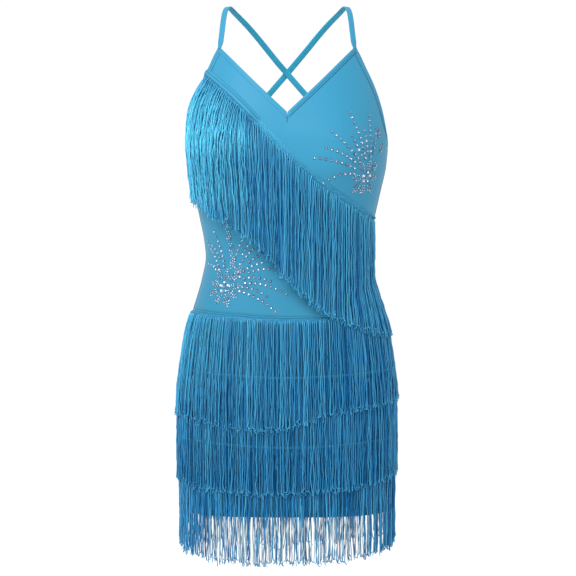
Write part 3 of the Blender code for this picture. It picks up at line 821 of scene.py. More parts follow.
def knit_material(name, settings):
    """Stretch knit of polyester and elastane, warp knitted, dyed and pressed: even, softly shining cloth."""
    material, tree, shader = new_material(name)
    # Wales stand 0.55 mm apart in the real knit. They are drawn 1.1 mm apart, so that they show.
    wale, course = 0.0011, 0.0014
    place = add_node(tree, "ShaderNodeUVMap", "cloth place", uv_map="cloth")
    split = add_node(tree, "ShaderNodeSeparateXYZ", "", {"Vector": place})
    waves = []
    for label, axis, size in (("wales", "X", wale), ("courses", "Y", course)):
        turn = add_node(
            tree, "ShaderNodeMath", label, {0: split.outputs[axis], 1: 2 * math.pi / size},
            operation="MULTIPLY",
        )
        waves.append(add_node(tree, "ShaderNodeMath", label, {0: turn}, operation="SINE"))
    loops = add_node(
        tree, "ShaderNodeMath", "loops", {0: waves[1], 1: 0.35, 2: waves[0]}, operation="MULTIPLY_ADD"
    )
    bump = add_node(
        tree, "ShaderNodeBump", "knit loops", {"Strength": 0.25, "Distance": 0.00008, "Height": loops}
    )
    # Painted shade: the knit is drawn a seventh darker below the bust than above it, where less light falls,
    # and its dye is patchy by a few hundredths.
    spot = add_node(tree, "ShaderNodeTexCoord")
    cloud = add_node(tree, "ShaderNodeTexNoise", "uneven dye", {
        "Vector": spot.outputs["Object"], "Scale": 22.0, "Detail": 3.0,
    })
    place = add_node(tree, "ShaderNodeSeparateXYZ", "", {"Vector": spot.outputs["Object"]})
    depth = add_node(tree, "ShaderNodeMapRange", "painted shade below bust", {
        "Value": place.outputs["Z"], "From Min": -0.40, "From Max": -0.15, "To Min": 0.0, "To Max": 0.8,
    })
    dye_and_shade = add_node(
        tree, "ShaderNodeMath", "dye and painted shade", {0: cloud, 1: 0.4, 2: depth}, operation="MULTIPLY_ADD"
    )
    colour = add_node(
        tree, "ShaderNodeMix", "dye",
        {"Factor": dye_and_shade, "A": opaque(settings.colour, 0.87), "B": opaque(settings.colour, 1.04)},
        data_type="RGBA",
    )
    # Painted light: behind, the straps' inner faces, which lie in shade, are drawn a lighter teal.
    strap_light = add_node(tree, "ShaderNodeAttribute", "painted_strap_light", attribute_name="painted_strap_light")
    final = add_node(
        tree, "ShaderNodeMix", "painted_strap_light",
        {"Factor": strap_light.outputs["Fac"], "A": colour, "B": opaque(rgb("3097B4"))}, data_type="RGBA",
    )
    set_inputs(tree, shader, {
        "Base Color": final, "Normal": bump, "Roughness": 0.55, "Specular IOR Level": 0.22,
        "Sheen Weight": 0.10, "Sheen Roughness": 0.45, "Sheen Tint": opaque(rgb("BFE6F5")),
    })
    return material


def chainette_material(name, settings):
    """Chainette of spun rayon, knitted as a round cord: silky strands, each dyed a little apart."""
    material, tree, shader = new_material(name)
    # The strand shade holds each strand's own uneven dye together with painted light and shade: deep rows and
    # the left roots darker, the upper left, the tips and other roots lighter.
    shade = add_node(tree, "ShaderNodeAttribute", "strand shade", attribute_name="shade")
    dye = add_node(
        tree, "ShaderNodeMix", "strand dye and painted light",
        {"Factor": shade.outputs["Fac"], "A": opaque(settings.dark), "B": opaque(settings.light)},
        data_type="RGBA", clamp_factor=False,
    )
    # The darkest strands, drawn dark mostly as painted shade deep in the fringe, lean to green, so they
    # aren't violet.
    depth = add_node(tree, "ShaderNodeMapRange", "darkest strands", {
        "Value": shade.outputs["Fac"], "From Min": 0.0, "From Max": 0.34, "To Min": 1.0, "To Max": 0.0,
    })
    deep = add_node(
        tree, "ShaderNodeMix", "darkest strands", {"Factor": depth, "A": dye, "B": opaque(rgb("005081"))},
        data_type="RGBA",
    )
    # Painted back light: below the hem some strands have light behind them, and their fluff is drawn pale
    # grey.
    pale = add_node(tree, "ShaderNodeAttribute", "pale ends", attribute_name="pale")
    colour = add_node(
        tree, "ShaderNodeMix", "painted back light",
        {"Factor": pale.outputs["Fac"], "A": deep, "B": opaque(rgb("BBC6C0"))}, data_type="RGBA",
    )
    # The chain's loops are 1.6 mm long.
    loop = 0.0016
    run = add_node(tree, "ShaderNodeAttribute", "distance down the strand", attribute_name="run")
    turn = add_node(
        tree, "ShaderNodeMath", "chain loops", {0: run.outputs["Fac"], 1: 2 * math.pi / loop},
        operation="MULTIPLY",
    )
    wave = add_node(tree, "ShaderNodeMath", "chain loops", {0: turn}, operation="SINE")
    bump = add_node(
        tree, "ShaderNodeBump", "chain loops", {"Strength": 0.3, "Distance": 0.0001, "Height": wave}
    )
    set_inputs(tree, shader, {
        "Base Color": colour, "Normal": bump, "Roughness": 0.40, "Specular IOR Level": 0.32,
        "Specular Tint": opaque(rgb("8CCAE0")), "Sheen Weight": 0.04, "Sheen Roughness": 0.35,
        "Sheen Tint": opaque(rgb("A2D2E4")),
    })
    return material


def thread_material(name, settings):
    """Sewing thread of spun polyester: a dull line, drawn darker than the knit as painted shade where it is
    drawn down into it.
    """
    material, tree, shader = new_material(name)
    spot = add_node(tree, "ShaderNodeTexCoord")
    twist = add_node(tree, "ShaderNodeTexNoise", "twist", {
        "Vector": spot.outputs["Object"], "Scale": 900.0, "Detail": 1.0,
    })
    colour = add_node(
        tree, "ShaderNodeMix", "thread dye",
        {"Factor": twist, "A": opaque(settings.colour, 0.8), "B": opaque(settings.colour, 1.2)},
        data_type="RGBA",
    )
    set_inputs(tree, shader, {"Base Color": colour, "Roughness": 0.6, "Specular IOR Level": 0.3})
    return material


def glass_material(name, colours, roughness):
    """Foil-backed cut glass: a bright table among dark and light facets, as painted glints and reflections,
    with a rosy or bluish cast.
    """
    material, tree, shader = new_material(name)
    # Painted glints and reflections: each facet's brightness is random, the table is brighter, and each stone
    # has a spark of its own.
    glint = add_node(tree, "ShaderNodeAttribute", "facet glint", attribute_name="glint")
    table = add_node(tree, "ShaderNodeAttribute", "table", attribute_name="table")
    raised = add_node(
        tree, "ShaderNodeMath", "brighter table", {0: table.outputs["Fac"], 1: 0.52}, operation="MULTIPLY"
    )
    value = add_node(
        tree, "ShaderNodeMath", "facet value", {0: glint.outputs["Fac"], 1: 0.48, 2: raised},
        operation="MULTIPLY_ADD",
    )
    spark = add_node(tree, "ShaderNodeAttribute", "spark", attribute_name="spark")
    bright = add_node(
        tree, "ShaderNodeMath", "brightness", {0: value, 1: spark.outputs["Fac"]}, operation="MULTIPLY"
    )
    ramp = add_node(tree, "ShaderNodeValToRGB", "facet colour", {"Fac": bright})
    stops = ramp.color_ramp.elements
    stops[0].color = opaque(rgb(colours[0]))
    stops[1].color = opaque(rgb(colours[-1]))
    for i, colour in enumerate(colours[1:-1], 1):
        stops.new(i / (len(colours) - 1)).color = opaque(rgb(colour))
    # One stone in five or so has a rosy cast from its coating.
    rose = add_node(tree, "ShaderNodeAttribute", "rose", attribute_name="rose")
    cast = add_node(tree, "ShaderNodeMapRange", "cast", {
        "Value": rose.outputs["Fac"], "From Min": 0.76, "From Max": 1.0, "To Min": 0.0, "To Max": 1.0,
    })
    colour = add_node(
        tree, "ShaderNodeMix", "coating", {"Factor": cast, "A": ramp, "B": opaque(rgb("E6C0E4"))},
        data_type="RGBA", blend_type="MULTIPLY",
    )
    set_inputs(tree, shader, {
        "Base Color": colour, "Metallic": 0.12, "Roughness": roughness, "Specular IOR Level": 0.30,
    })
    return material


def floor_material(name):
    """Matt white studio paint on the floor."""
    material, tree, shader = new_material(name)
    spot = add_node(tree, "ShaderNodeTexCoord")
    grain = add_node(
        tree, "ShaderNodeTexNoise", "roller marks", {"Vector": spot.outputs["Object"], "Scale": 40.0}
    )
    colour = add_node(
        tree, "ShaderNodeMix", "paint",
        {"Factor": grain, "A": opaque(rgb("FDFDFD")), "B": opaque(rgb("FFFFFF"))}, data_type="RGBA",
    )
    set_inputs(tree, shader, {"Base Color": colour, "Roughness": 1.0, "Specular IOR Level": 0.0})
    return material


def knit(scene):
    return material_once("polyester_elastane_knit", knit_material, scene.dress_cloth)


def chainette(scene):
    return material_once("rayon_chainette", chainette_material, scene.dress_fringe)


def gimp(scene):
    return material_once("rayon_gimp", chainette_material, scene.dress_trim)


def thread(scene):
    return material_once("polyester_thread", thread_material, scene.dress_sewing)


# ---------------------------------------------------------------------------------------------------------
# Geometry-node trees


def strand_tree(name):
    """Round cords along loose edges, as thick as their points' thickness says."""
    tree, given, result = new_tree(name, {"Radius": "Float", "Sides": "Int", "Material": "Material"})
    curve = add_node(tree, "GeometryNodeMeshToCurve", "", {"Mesh": given.outputs["Geometry"]})
    section = add_node(
        tree, "GeometryNodeCurvePrimitiveCircle", "section",
        {"Resolution": given.outputs["Sides"], "Radius": given.outputs["Radius"]}, mode="RADIUS",
    )
    thickness = add_node(
        tree, "GeometryNodeInputNamedAttribute", "thickness", {"Name": "thickness"}, data_type="FLOAT"
    )
    cord = add_node(tree, "GeometryNodeCurveToMesh", "cord", {
        "Curve": curve, "Profile Curve": section, "Scale": thickness, "Fill Caps": True,
    })
    smooth = add_node(tree, "GeometryNodeSetShadeSmooth", "", {"Geometry": cord})
    painted = add_node(
        tree, "GeometryNodeSetMaterial", "", {"Geometry": smooth, "Material": given.outputs["Material"]}
    )
    real = add_node(tree, "GeometryNodeRealizeInstances", "", {"Geometry": painted})
    set_inputs(tree, result, {"Geometry": real})
    return tree


def stitch_tree(name):
    """Stitches laid end to end along loose edges, flat on the cloth that they face."""
    sizes = {"Stitch": "Float", "Gap": "Float", "Thread": "Float", "Material": "Material"}
    tree, given, result = new_tree(name, sizes)
    curve = add_node(tree, "GeometryNodeMeshToCurve", "", {"Mesh": given.outputs["Geometry"]})
    pitch = add_node(
        tree, "ShaderNodeMath", "pitch", {0: given.outputs["Stitch"], 1: given.outputs["Gap"]},
        operation="ADD",
    )
    spaced = add_node(
        tree, "GeometryNodeResampleCurve", "spaced", {"Curve": curve, "Length": pitch}, mode="LENGTH"
    )
    stitch = add_node(tree, "GeometryNodeMeshCylinder", "stitch", {
        "Vertices": 6, "Radius": given.outputs["Thread"], "Depth": given.outputs["Stitch"],
    })
    tangent = add_node(tree, "GeometryNodeInputTangent")
    facing = add_node(
        tree, "GeometryNodeInputNamedAttribute", "facing", {"Name": "facing"}, data_type="FLOAT_VECTOR"
    )
    along = add_node(
        tree, "FunctionNodeAlignRotationToVector", "along the row", {"Vector": tangent}, axis="Z"
    )
    flat = add_node(
        tree, "FunctionNodeAlignRotationToVector", "flat on the cloth",
        {"Rotation": along, "Vector": facing}, axis="X", pivot_axis="Z",
    )
    laid = add_node(tree, "GeometryNodeInstanceOnPoints", "laid", {
        "Points": spaced, "Instance": stitch, "Rotation": flat,
    })
    real = add_node(tree, "GeometryNodeRealizeInstances", "", {"Geometry": laid})
    smooth = add_node(tree, "GeometryNodeSetShadeSmooth", "", {"Geometry": real})
    painted = add_node(
        tree, "GeometryNodeSetMaterial", "", {"Geometry": smooth, "Material": given.outputs["Material"]}
    )
    set_inputs(tree, result, {"Geometry": painted})
    return tree


def stone_tree(name):
    """Cut stones on points: each faces its point's facing, turned and sized by its point."""
    sizes = {"Facets": "Int", "Crown": "Float", "Table": "Float", "Seed": "Int", "Material": "Material"}
    tree, given, result = new_tree(name, sizes)
    crown = add_node(tree, "GeometryNodeMeshCone", "crown", {
        "Vertices": given.outputs["Facets"], "Radius Top": given.outputs["Table"], "Radius Bottom": 1.0,
        "Depth": given.outputs["Crown"],
    })
    marked = add_node(
        tree, "GeometryNodeStoreNamedAttribute", "table",
        {"Geometry": crown, "Name": "table", "Value": crown.outputs["Top"]}, data_type="FLOAT",
        domain="FACE",
    )
    turn, size, facing = (
        add_node(tree, "GeometryNodeInputNamedAttribute", label, {"Name": label}, data_type=kind)
        for label, kind in (("turn", "FLOAT"), ("size", "FLOAT"), ("facing", "FLOAT_VECTOR"))
    )
    turned = add_node(
        tree, "FunctionNodeAxisAngleToRotation", "turned", {"Axis": (0.0, 0.0, 1.0), "Angle": turn}
    )
    faced = add_node(
        tree, "FunctionNodeAlignRotationToVector", "faced", {"Rotation": turned, "Vector": facing}, axis="Z"
    )
    placed = add_node(tree, "GeometryNodeInstanceOnPoints", "set", {
        "Points": given.outputs["Geometry"], "Instance": marked, "Rotation": faced, "Scale": size,
    })
    real = add_node(tree, "GeometryNodeRealizeInstances", "", {"Geometry": placed})
    # Painted glints: a random brightness for each facet.
    chance = add_node(
        tree, "FunctionNodeRandomValue", "glint", {"Seed": given.outputs["Seed"]}, data_type="FLOAT"
    )
    glint = add_node(
        tree, "GeometryNodeStoreNamedAttribute", "glint",
        {"Geometry": real, "Name": "glint", "Value": chance}, data_type="FLOAT", domain="FACE",
    )
    painted = add_node(
        tree, "GeometryNodeSetMaterial", "", {"Geometry": glint, "Material": given.outputs["Material"]}
    )
    set_inputs(tree, result, {"Geometry": painted})
    return tree


# ---------------------------------------------------------------------------------------------------------
# Knit panels, bindings and straps

COLUMN_STEP = math.radians(2.0)
ROW_STEP = 0.008
LEAST_HEIGHT = 0.0015           # a panel ends where it would be lower than this
SIDE = math.pi / 2 - 0.0015     # the panels of the front and back meet at the side seams


def knit_panel(scene, name, node, bottom, top, middle):
    """A panel of knit between two heights, from side to side about a middle, as a thin shell on the form."""
    angles = np.linspace(middle - SIDE, middle + SIDE, 2000)
    tall = angles[top(angles) - bottom(angles) >= LEAST_HEIGHT]
    columns = np.linspace(tall[0], tall[-1], round((tall[-1] - tall[0]) / COLUMN_STEP))
    low, high = bottom(columns), top(columns)
    shares = np.linspace(0, 1, round(float((high - low).max()) / ROW_STEP) + 1)
    heights = low[:, None] + (high - low)[:, None] * shares[None, :]
    places = np.broadcast_to(columns[:, None], heights.shape)
    uv = np.stack((places * HALF_WIDTH(-UNDERARM), heights), axis=-1)
    panel = new_piece(name, quad_mesh(name, on_form(places, heights), uv=uv), knit(scene), [node])
    thicken(panel, "cloth thickness", scene.dress_cloth.thickness, even=True)


def build_panels(scene):
    under_binding = BINDING_WIDTH - scene.dress_cloth.underlap
    top, diagonal = front_top(under_binding), height_along(DIAGONAL_SEAM)
    knit_panel(
        scene, "front_upper_cloth", "front_upper_panel", diagonal, top,
        0.0,
    )
    knit_panel(
        scene, "front_lower_cloth", "front_lower_panel",
        waist_height, lambda angle: np.minimum(top(angle), diagonal(angle)),
        0.0,
    )
    knit_panel(
        scene, "back_cloth", "back_panel",
        waist_height, height_along(inset(BACK_LINE, under_binding)),
        math.pi,
    )
    for name, middle, above in (
        ("skirt_front", 0.0, "front_lower_cloth"), ("skirt_back", math.pi, "back_cloth")
    ):
        knit_panel(
            scene, f"{name}_cloth", f"{name}_panel", hem_height, waist_height,
            middle,
        )


def new_binding(scene, name, node, line):
    """A binding whose middle runs along a line of places."""
    middles = on_form(*line.T, scene.dress_cloth.binding_proud)
    looks = form_normal(*line.T)
    across = unit(np.cross(unit(np.gradient(middles, axis=0)), looks))
    mesh = band_mesh(name, middles, across, looks, BINDING_WIDTH, BINDING_THICKNESS)
    return new_piece(name, mesh, knit(scene), [node])


def cut_at_centre(mesh, side):
    """Mitre a binding's end: nothing of it passes the front centre."""
    for vertex in mesh.vertices:
        vertex.co.x = side * max(side * vertex.co.x, CENTRE_GAP)


def build_bindings(scene):
    half = BINDING_WIDTH / 2
    neck = inset(NECKLINE_EDGE_TO_STRAP, half)
    past_centre = neck[0] - (neck[4] - neck[0]) / np.ptp(neck[:5, 0]) * 0.10
    neck = even_stops(np.vstack((past_centre, neck)), BAND_STEP)
    arm = even_stops(inset(ARMHOLE_EDGE, half), BAND_STEP)
    for name, side, neck_line, arm_line in (
        ("right", 1, neck, arm), ("left", -1, mirrored(neck), mirrored(arm))
    ):
        binding = new_binding(scene, f"neck_edge_{name}", f"neck_binding_{name}", neck_line)
        cut_at_centre(binding.data, side)
        new_binding(scene, f"armhole_edge_{name}", f"armhole_binding_{name}", arm_line)
    new_binding(scene, "back_edge", "back_binding", even_stops(inset(BACK_LINE, half), BAND_STEP))


def strap_path():
    """Middle, width direction, look and width along the right strap, from the armhole to the back edge."""
    inner, outer = (on_form(*line[0], 0.0003) for line in (inset(ARMHOLE_EDGE, BINDING_WIDTH), ARMHOLE_EDGE))
    points = [(inner + outer) / 2, *STRAP[:, :3]]
    looks = [unit(form_normal(*ARMHOLE_EDGE[0]) * STRAP_TURN)]
    for row in STRAP:
        looks.append(unit(row[3:] * np.array(STRAP_TURN) ** blend(row[1], *STRAP_TURN_Y)))
    back_edge = height_along(BACK_LINE)
    rough_height = -0.19
    end_height = float(back_edge(angle_at(STRAP_END_X, rough_height, back=True))) - BINDING_WIDTH / 2
    for x, height in (*STRAP_ON_BACK, (STRAP_END_X, end_height)):
        angle = angle_at(x, height, back=True)
        points.append(on_form(angle, height, STRAP_END_LIFT if x == STRAP_END_X else STRAP_LIFT))
        looks.append(form_normal(angle, height))
    points = np.array(points)
    places = run_along(points)
    stops = np.linspace(0, places[-1], STRAP_STEPS + 1)
    middle = smooth_path(places, points, stops)
    looks = unit(smooth_path(places, np.array(looks), stops))
    across = unit(np.cross(np.gradient(middle, axis=0), looks))
    start = unit(outer - inner) * np.sign(np.dot(outer - inner, across[1]))
    share = blend(stops, 0.0, STRAP_TAPER)
    across = unit(across * (1 - share[:, None]) + start * share[:, None])
    return middle, across, looks, STRAP_WIDTH + (STRAP_START_WIDTH - STRAP_WIDTH) * share


def build_straps(scene):
    middle, across, looks, width = strap_path()
    parting = blend(np.abs(middle[:, 0]), *CROSSING) * (middle[:, 1] > 0)
    for side, name in ((1, "strap_right"), (-1, "strap_left")):
        parted = middle + looks * (side * parting * (STRAP_THICKNESS + LAY_GAP) / 2)[:, None]
        flip = np.array([side, 1.0, 1.0])
        mesh = band_mesh(
            f"{name}_band", parted * flip, across * flip * side, looks * flip, width, STRAP_THICKNESS
        )
        places = np.empty(len(mesh.vertices) * 3)
        mesh.vertices.foreach_get("co", places)
        # Painted light: the straps' runs behind are marked to be drawn lighter, as if lit from inside.
        behind = 1 - blend(places.reshape(-1, 3)[:, 1], 0.0, 0.030)
        add_attributes(mesh, {"painted_strap_light": behind}, (len(mesh.vertices),))
        new_piece(f"{name}_band", mesh, knit(scene), [name])


# ---------------------------------------------------------------------------------------------------------
# Fringe


def fringe_out(trims_below, angle, height):
    """How far a fringe's outer face stands off the form: one layer, and one more over each trim below."""
    layers = np.ones(np.shape(angle))
    for top in trims_below:
        start = tier_height(top, angle) + LAYER_LEAD + LAYER_RUN
        layers = layers + np.clip((start - height) / LAYER_RUN, 0.0, 1.0)
    return LAYER * layers


def angle_of(points):
    """The angle about the Z axis at which points lie."""
    return np.arctan2(points[..., 0], -points[..., 1])


def falls(roots, lengths, stops, rise, trims_below, fan):
    """Paths down from roots, pushed out by whatever stands out below them, cut at shares of their lengths."""
    point = roots.copy()
    paths = [point]
    for _ in range(int(np.max(lengths) * 1.08 / FALL) + 2):
        below = point - FALL * UP
        slip = fan * FALL * (1 - blend(below[:, 2], FAN_END, FAN_END + FAN_FADE))
        outwards, aside = directions(angle_of(below))
        inwards = SETTLE * FALL * (fan > 0) * (1 - blend(-below[:, 2], *SETTLE_DEPTHS))
        below -= slip[:, None] * aside + inwards[:, None] * outwards
        for _ in range(3):
            angle = angle_of(below)
            face = form_normal(angle, below[:, 2])
            off = np.hypot(below[:, 0], below[:, 1]) - form_radius(angle, below[:, 2])
            need = fringe_out(trims_below, angle, below[:, 2]) + rise
            short = need - off * np.sum(directions(angle)[0] * face, axis=-1)
            level = face * LEVEL
            push = np.maximum(short, 0.0) / np.sum(level * level, axis=-1)
            below = below + level * push[:, None]
        paths.append(below)
        point = below
    cut = np.empty((len(roots), len(stops), 3))
    for i, path in enumerate(np.stack(paths, axis=1)):
        run = run_along(path)
        for k in range(3):
            cut[i, :, k] = np.interp(stops * lengths[i], run, path[:, k])
    return cut


def strand_stops(length, body_steps):
    """Shares of a strand's length at its points: even down to the tip, and closer in the tip's curl."""
    body = np.linspace(0, 1 - TIP / length, body_steps, endpoint=False)
    return np.concatenate((body, np.linspace(1 - TIP / length, 1, TIP_STEPS + 1)))


def bunch_middles(places, mean_width, chance):
    """Middle of the bunch that each place along a trim belongs to; the bunches are of uneven widths."""
    span = places.max() - places.min() + 4 * mean_width
    widths = mean_width * chance.uniform(0.55, 1.5, int(span / mean_width * 2))
    first = places.min() - 2 * mean_width * chance.uniform(0.2, 1)
    edges = first + np.concatenate(([0.0], np.cumsum(widths)))
    bunch = np.searchsorted(edges, places) - 1
    return (edges[bunch] + edges[bunch + 1]) / 2


def waves(places, runs, lengths, chance):
    """Smooth noise between about -1 and 1 over places along a trim and runs down the strands."""
    total = np.zeros(np.broadcast(places, runs).shape)
    for across, down in zip(*lengths):
        phase = chance.uniform(0, 2 * math.pi)
        total = total + np.sin(2 * math.pi * (places / across + runs / down) + phase)
    return total / len(lengths[0])


# A fringe as it hangs: the line of its roots and how far they scatter upwards; how far the strands hook
# aside as they leave the head; their lengths, pitch, bunches, thickness and the trims below them; how they
# fan, flare and tousle by x; how much lighter or darker they are drawn, as painted light and shade, over the
# dress and at their roots; the steps down a strand; how uneven the lengths are; and the share of the strands
# that is kept behind
Hanging = namedtuple(
    "Hanging",
    "line root_scatter hook lengths pitch clump clump_start thickness trims_below fan flare tousle lift "
    "root_shade body_steps ragged kept_behind",
)


def loosened(paths, places, runs, tip, hanging, row, drift, chance):
    """The paths with the ways that strands part from a plain fall: bunching, drift, waves and curled tips."""
    down = runs / DRIFT_FALL
    count = (len(places), 1)
    tousle = 1 + hanging.tousle(paths[:, :1, 0])
    middles = bunch_middles(places, hanging.clump, chance)
    draw = chance.uniform(row.pull_least, row.pull_most, len(places))
    drawn = 1 - np.exp(-np.maximum(runs - hanging.clump_start, 0) / DRAW_RUN)
    sideways = (draw * (middles - places))[:, None] * drawn
    slow = waves(places[:, None], runs, SLOW_WAVES, chance)
    sideways = sideways + drift * (slow * down**1.2 + 0.7 * chance.normal(0, 1, count) * down)
    freed = np.minimum(runs / FREE_RUN, 1)
    together = waves(middles[:, None], runs, BUNCH_WAVES, chance)
    sideways = sideways + BUNCH_WAVE_HEIGHT * together * freed
    off = np.zeros(runs.shape)
    for mean_length, height in OWN_WAVES:
        turn = 2 * math.pi * runs / (mean_length * chance.uniform(0.6, 1.5, count))
        strength = height * chance.uniform(0.3, 1.6, count) * freed * tousle
        sideways = sideways + strength * np.sin(turn + chance.uniform(0, 6.28, count))
        off = off + strength * np.sin(turn * 0.8 + chance.uniform(0, 6.28, count))
    hook = np.exp(-runs / HOOK_RUN) * chance.uniform(-1, 1, count)
    sideways = sideways + hanging.hook * hook
    off = off + HOOK_OUT * np.abs(hook)
    curl = chance.uniform(-1, 1, count)
    sideways = sideways + CURL_ASIDE * curl * tip**2
    off = off + CURL_OUT * chance.uniform(-0.3, 1, count) * tip**2
    flared = hanging.flare(paths[:, :1, 0]) * chance.uniform(0.05, 1.0, count)
    off = off + flared * (1 - blend(runs, 0.0, FLARE_RUN[0])) * blend(runs, *FLARE_RUN[1:])
    level = unit(form_normal(angle_of(paths), paths[..., 2]) * LEVEL)
    round_about = np.stack((-level[..., 1], level[..., 0], np.zeros(level.shape[:2])), axis=-1)
    moved = paths + round_about * sideways[..., None] + level * off[..., None]
    moved[..., 2] += CURL_UP * np.abs(curl) * tip**3
    return moved


def fringe_row(hanging, row, drift, chance):
    """Paths and attributes of one row of strands that hang from a line of places."""
    run = run_on_form(hanging.line)
    count = round(run[-1] / (hanging.pitch * row.pitch_share))
    places = (np.arange(count) + 0.5 + chance.uniform(-0.30, 0.30, count)) * run[-1] / count
    angles, heights = along_line(places, run, hanging.line)
    kept = (np.cos(angles) > 0) | (chance.uniform(0, 1, count) < hanging.kept_behind)
    places, angles, heights = places[kept], angles[kept], heights[kept]
    count = len(places)
    heights = heights + chance.uniform(0.0, 1.0, count) * hanging.root_scatter * (row.rise > 0)
    roots = on_form(angles, heights, LAYER - ROOT_SINK + row.rise)
    slow = waves(places, 0.0, LENGTH_WAVES, chance)
    lengths = hanging.lengths(places / run[-1], angles)
    lengths = lengths * (1 + hanging.ragged * (1.2 * slow + chance.normal(0, 1, count) - 0.5))
    stops = strand_stops(float(lengths.mean()), hanging.body_steps)
    rises = row.rise + chance.uniform(-0.0004, 0.0005, count)
    tousle = hanging.tousle(roots[:, 0])
    fan = hanging.fan(roots[:, 0]) * (1 + chance.uniform(-0.35, 0.30, count) * (1 + 0.6 * tousle))
    paths = falls(roots, lengths, stops, rises, hanging.trims_below, fan)
    runs = stops[None, :] * lengths[:, None]
    tip = np.clip((runs - (lengths[:, None] - TIP)) / TIP, 0, 1)
    moved = loosened(paths, places, runs, tip, hanging, row, drift, chance)
    x, height = moved[..., 0], moved[..., 2]
    # Painted light and shade: the row's depth in the fringe, the light over the dress, the tips and the
    # roots; only the scatter is each strand's own dye.
    shade = row.shade + hanging.lift(x, height) + SHADE_SCATTER * chance.normal(0, 1, (count, 1))
    shade = np.clip(shade + TIP_SHADE * tip + hanging.root_shade(x, runs), 0, 1.6)
    # Painted back light: below the hem, the strands behind and some in front are drawn pale grey.
    pale = np.maximum(row.pale, PALE_BEHIND * (moved[..., 1] > 0)) * chance.uniform(0.5, 1.0, (count, 1))
    pale = pale * blend(height, *PALE_HEIGHTS) * blend(np.abs(x), *PALE_WIDTHS)
    thickness = hanging.thickness * chance.uniform(0.85, 1.15, (count, 1)) * np.ones(runs.shape)
    return {"paths": moved, "run": runs, "shade": shade, "pale": pale, "thickness": thickness}


def new_fringe(scene, name, rows):
    """The strands of one fringe, from the paths and attributes of its rows."""
    settings = scene.dress_fringe
    both = {label: np.concatenate([row[label] for row in rows]) for label in rows[0]}
    seeds = path_mesh(f"{name}_strands", both.pop("paths"), both)
    inputs = {"Radius": settings.radius, "Sides": settings.sides, "Material": chainette(scene)}
    tree = tree_once("cords_along_paths", strand_tree)
    return grown_piece(f"{name}_strands", seeds, tree, inputs, [name])


def tier_lengths(number):
    """The lengths of a tier's strands as a function of their shares along it and their angles."""
    degrees, lengths = np.array(TIER_LENGTHS[number - 1]).T
    curve = smooth_curve(np.radians(degrees), lengths)
    return lambda share, angle: curve(angle)


def skirt_painted_light(x, height):
    """Painted light: how much lighter the skirt's strands are drawn towards the upper left, where the light
    falls.
    """
    upper = 1 - blend(height, -0.66, -0.47)
    return 0.04 * upper + (1 - blend(-x, 0.0, 0.15)) * (0.02 + 0.40 * upper)


def skirt_root_highlight(x, runs):
    """Painted light: how much lighter the skirt's strands are drawn at their roots, where their tops catch
    the light from above.
    """
    return 0.25 * np.exp(-runs / 0.006)


def build_skirt_fringe(scene):
    settings = scene.dress_fringe
    for number, top in enumerate(TIER_TRIMS, 1):
        chance = np.random.RandomState(settings.seed + number)
        last = number == len(TIER_TRIMS)
        hanging = Hanging(
            line=once_round(round_line(top - TRIM_WIDTH + 0.0040, 720)), root_scatter=0.0015, hook=0.0012,
            lengths=tier_lengths(number), pitch=settings.tier_pitch,
            clump=settings.hem_clump if last else settings.clump, clump_start=0.078 if last else 0.0,
            thickness=1.3 if last else 1.0, trims_below=TIER_TRIMS[number:], fan=np.zeros_like,
            flare=np.zeros_like, tousle=np.zeros_like, lift=skirt_painted_light, root_shade=skirt_root_highlight, body_steps=22,
            ragged=0.014, kept_behind=0.5 if last else 1.0,
        )
        rows = HEM_ROWS if last else TIER_ROWS
        strands = [fringe_row(hanging, row, settings.drift, chance) for row in rows]
        new_fringe(scene, f"skirt_fringe_{number}", strands)


def diagonal_fan(x):
    """Sideways run of the strands for each unit of fall: over the left of the bust they fan out."""
    return 0.42 * (1 - blend(-x, -FAN_START_X, -FAN_FULL_X))


def folded_fan(x):
    """Sideways run of the strands that hang from the folded end of the diagonal trim."""
    return np.full(np.shape(x), 0.60)


def diagonal_flare(x):
    """How far the strands at the left end stand off before they fall back against the bust."""
    return 0.0030 * (1 - blend(-x, 0.050, 0.112))


def diagonal_tousle(x):
    """How much more the strands wave on the left of the bust than elsewhere."""
    return 1.1 * (1 - blend(-x, 0.030, 0.100))


def diagonal_painted_light(x, height):
    """Painted light: how much lighter the diagonal fringe's strands are drawn, most over the left of the bust
    where the light falls, with painted highlights on its crown and beneath it.
    """
    over_bust = (1 - blend(height, -0.32, -0.16)) * (0.50 + 0.50 * blend(height, -0.150, -0.095))
    crown = np.exp(-((height + 0.192) / 0.019) ** 2) * (1 - blend(-x, 0.020, 0.060))
    beneath = np.exp(-((height + 0.274) / 0.024) ** 2) * (1 - blend(-x, 0.045, 0.085))
    return 0.05 + 0.84 * (1 - blend(-x, 0.010, 0.120)) * over_bust + 0.32 * crown + 0.32 * beneath


def diagonal_root_shade(x, runs):
    """Painted shade and light at the roots of the diagonal fringe's strands: darker on the left, in the shade
    under the facing, else lighter.
    """
    left = 1 - blend(-x, 0.018, 0.055)
    return 0.33 * (1 - left) * np.exp(-runs / 0.012) - 0.45 * left * np.exp(-runs / 0.030)


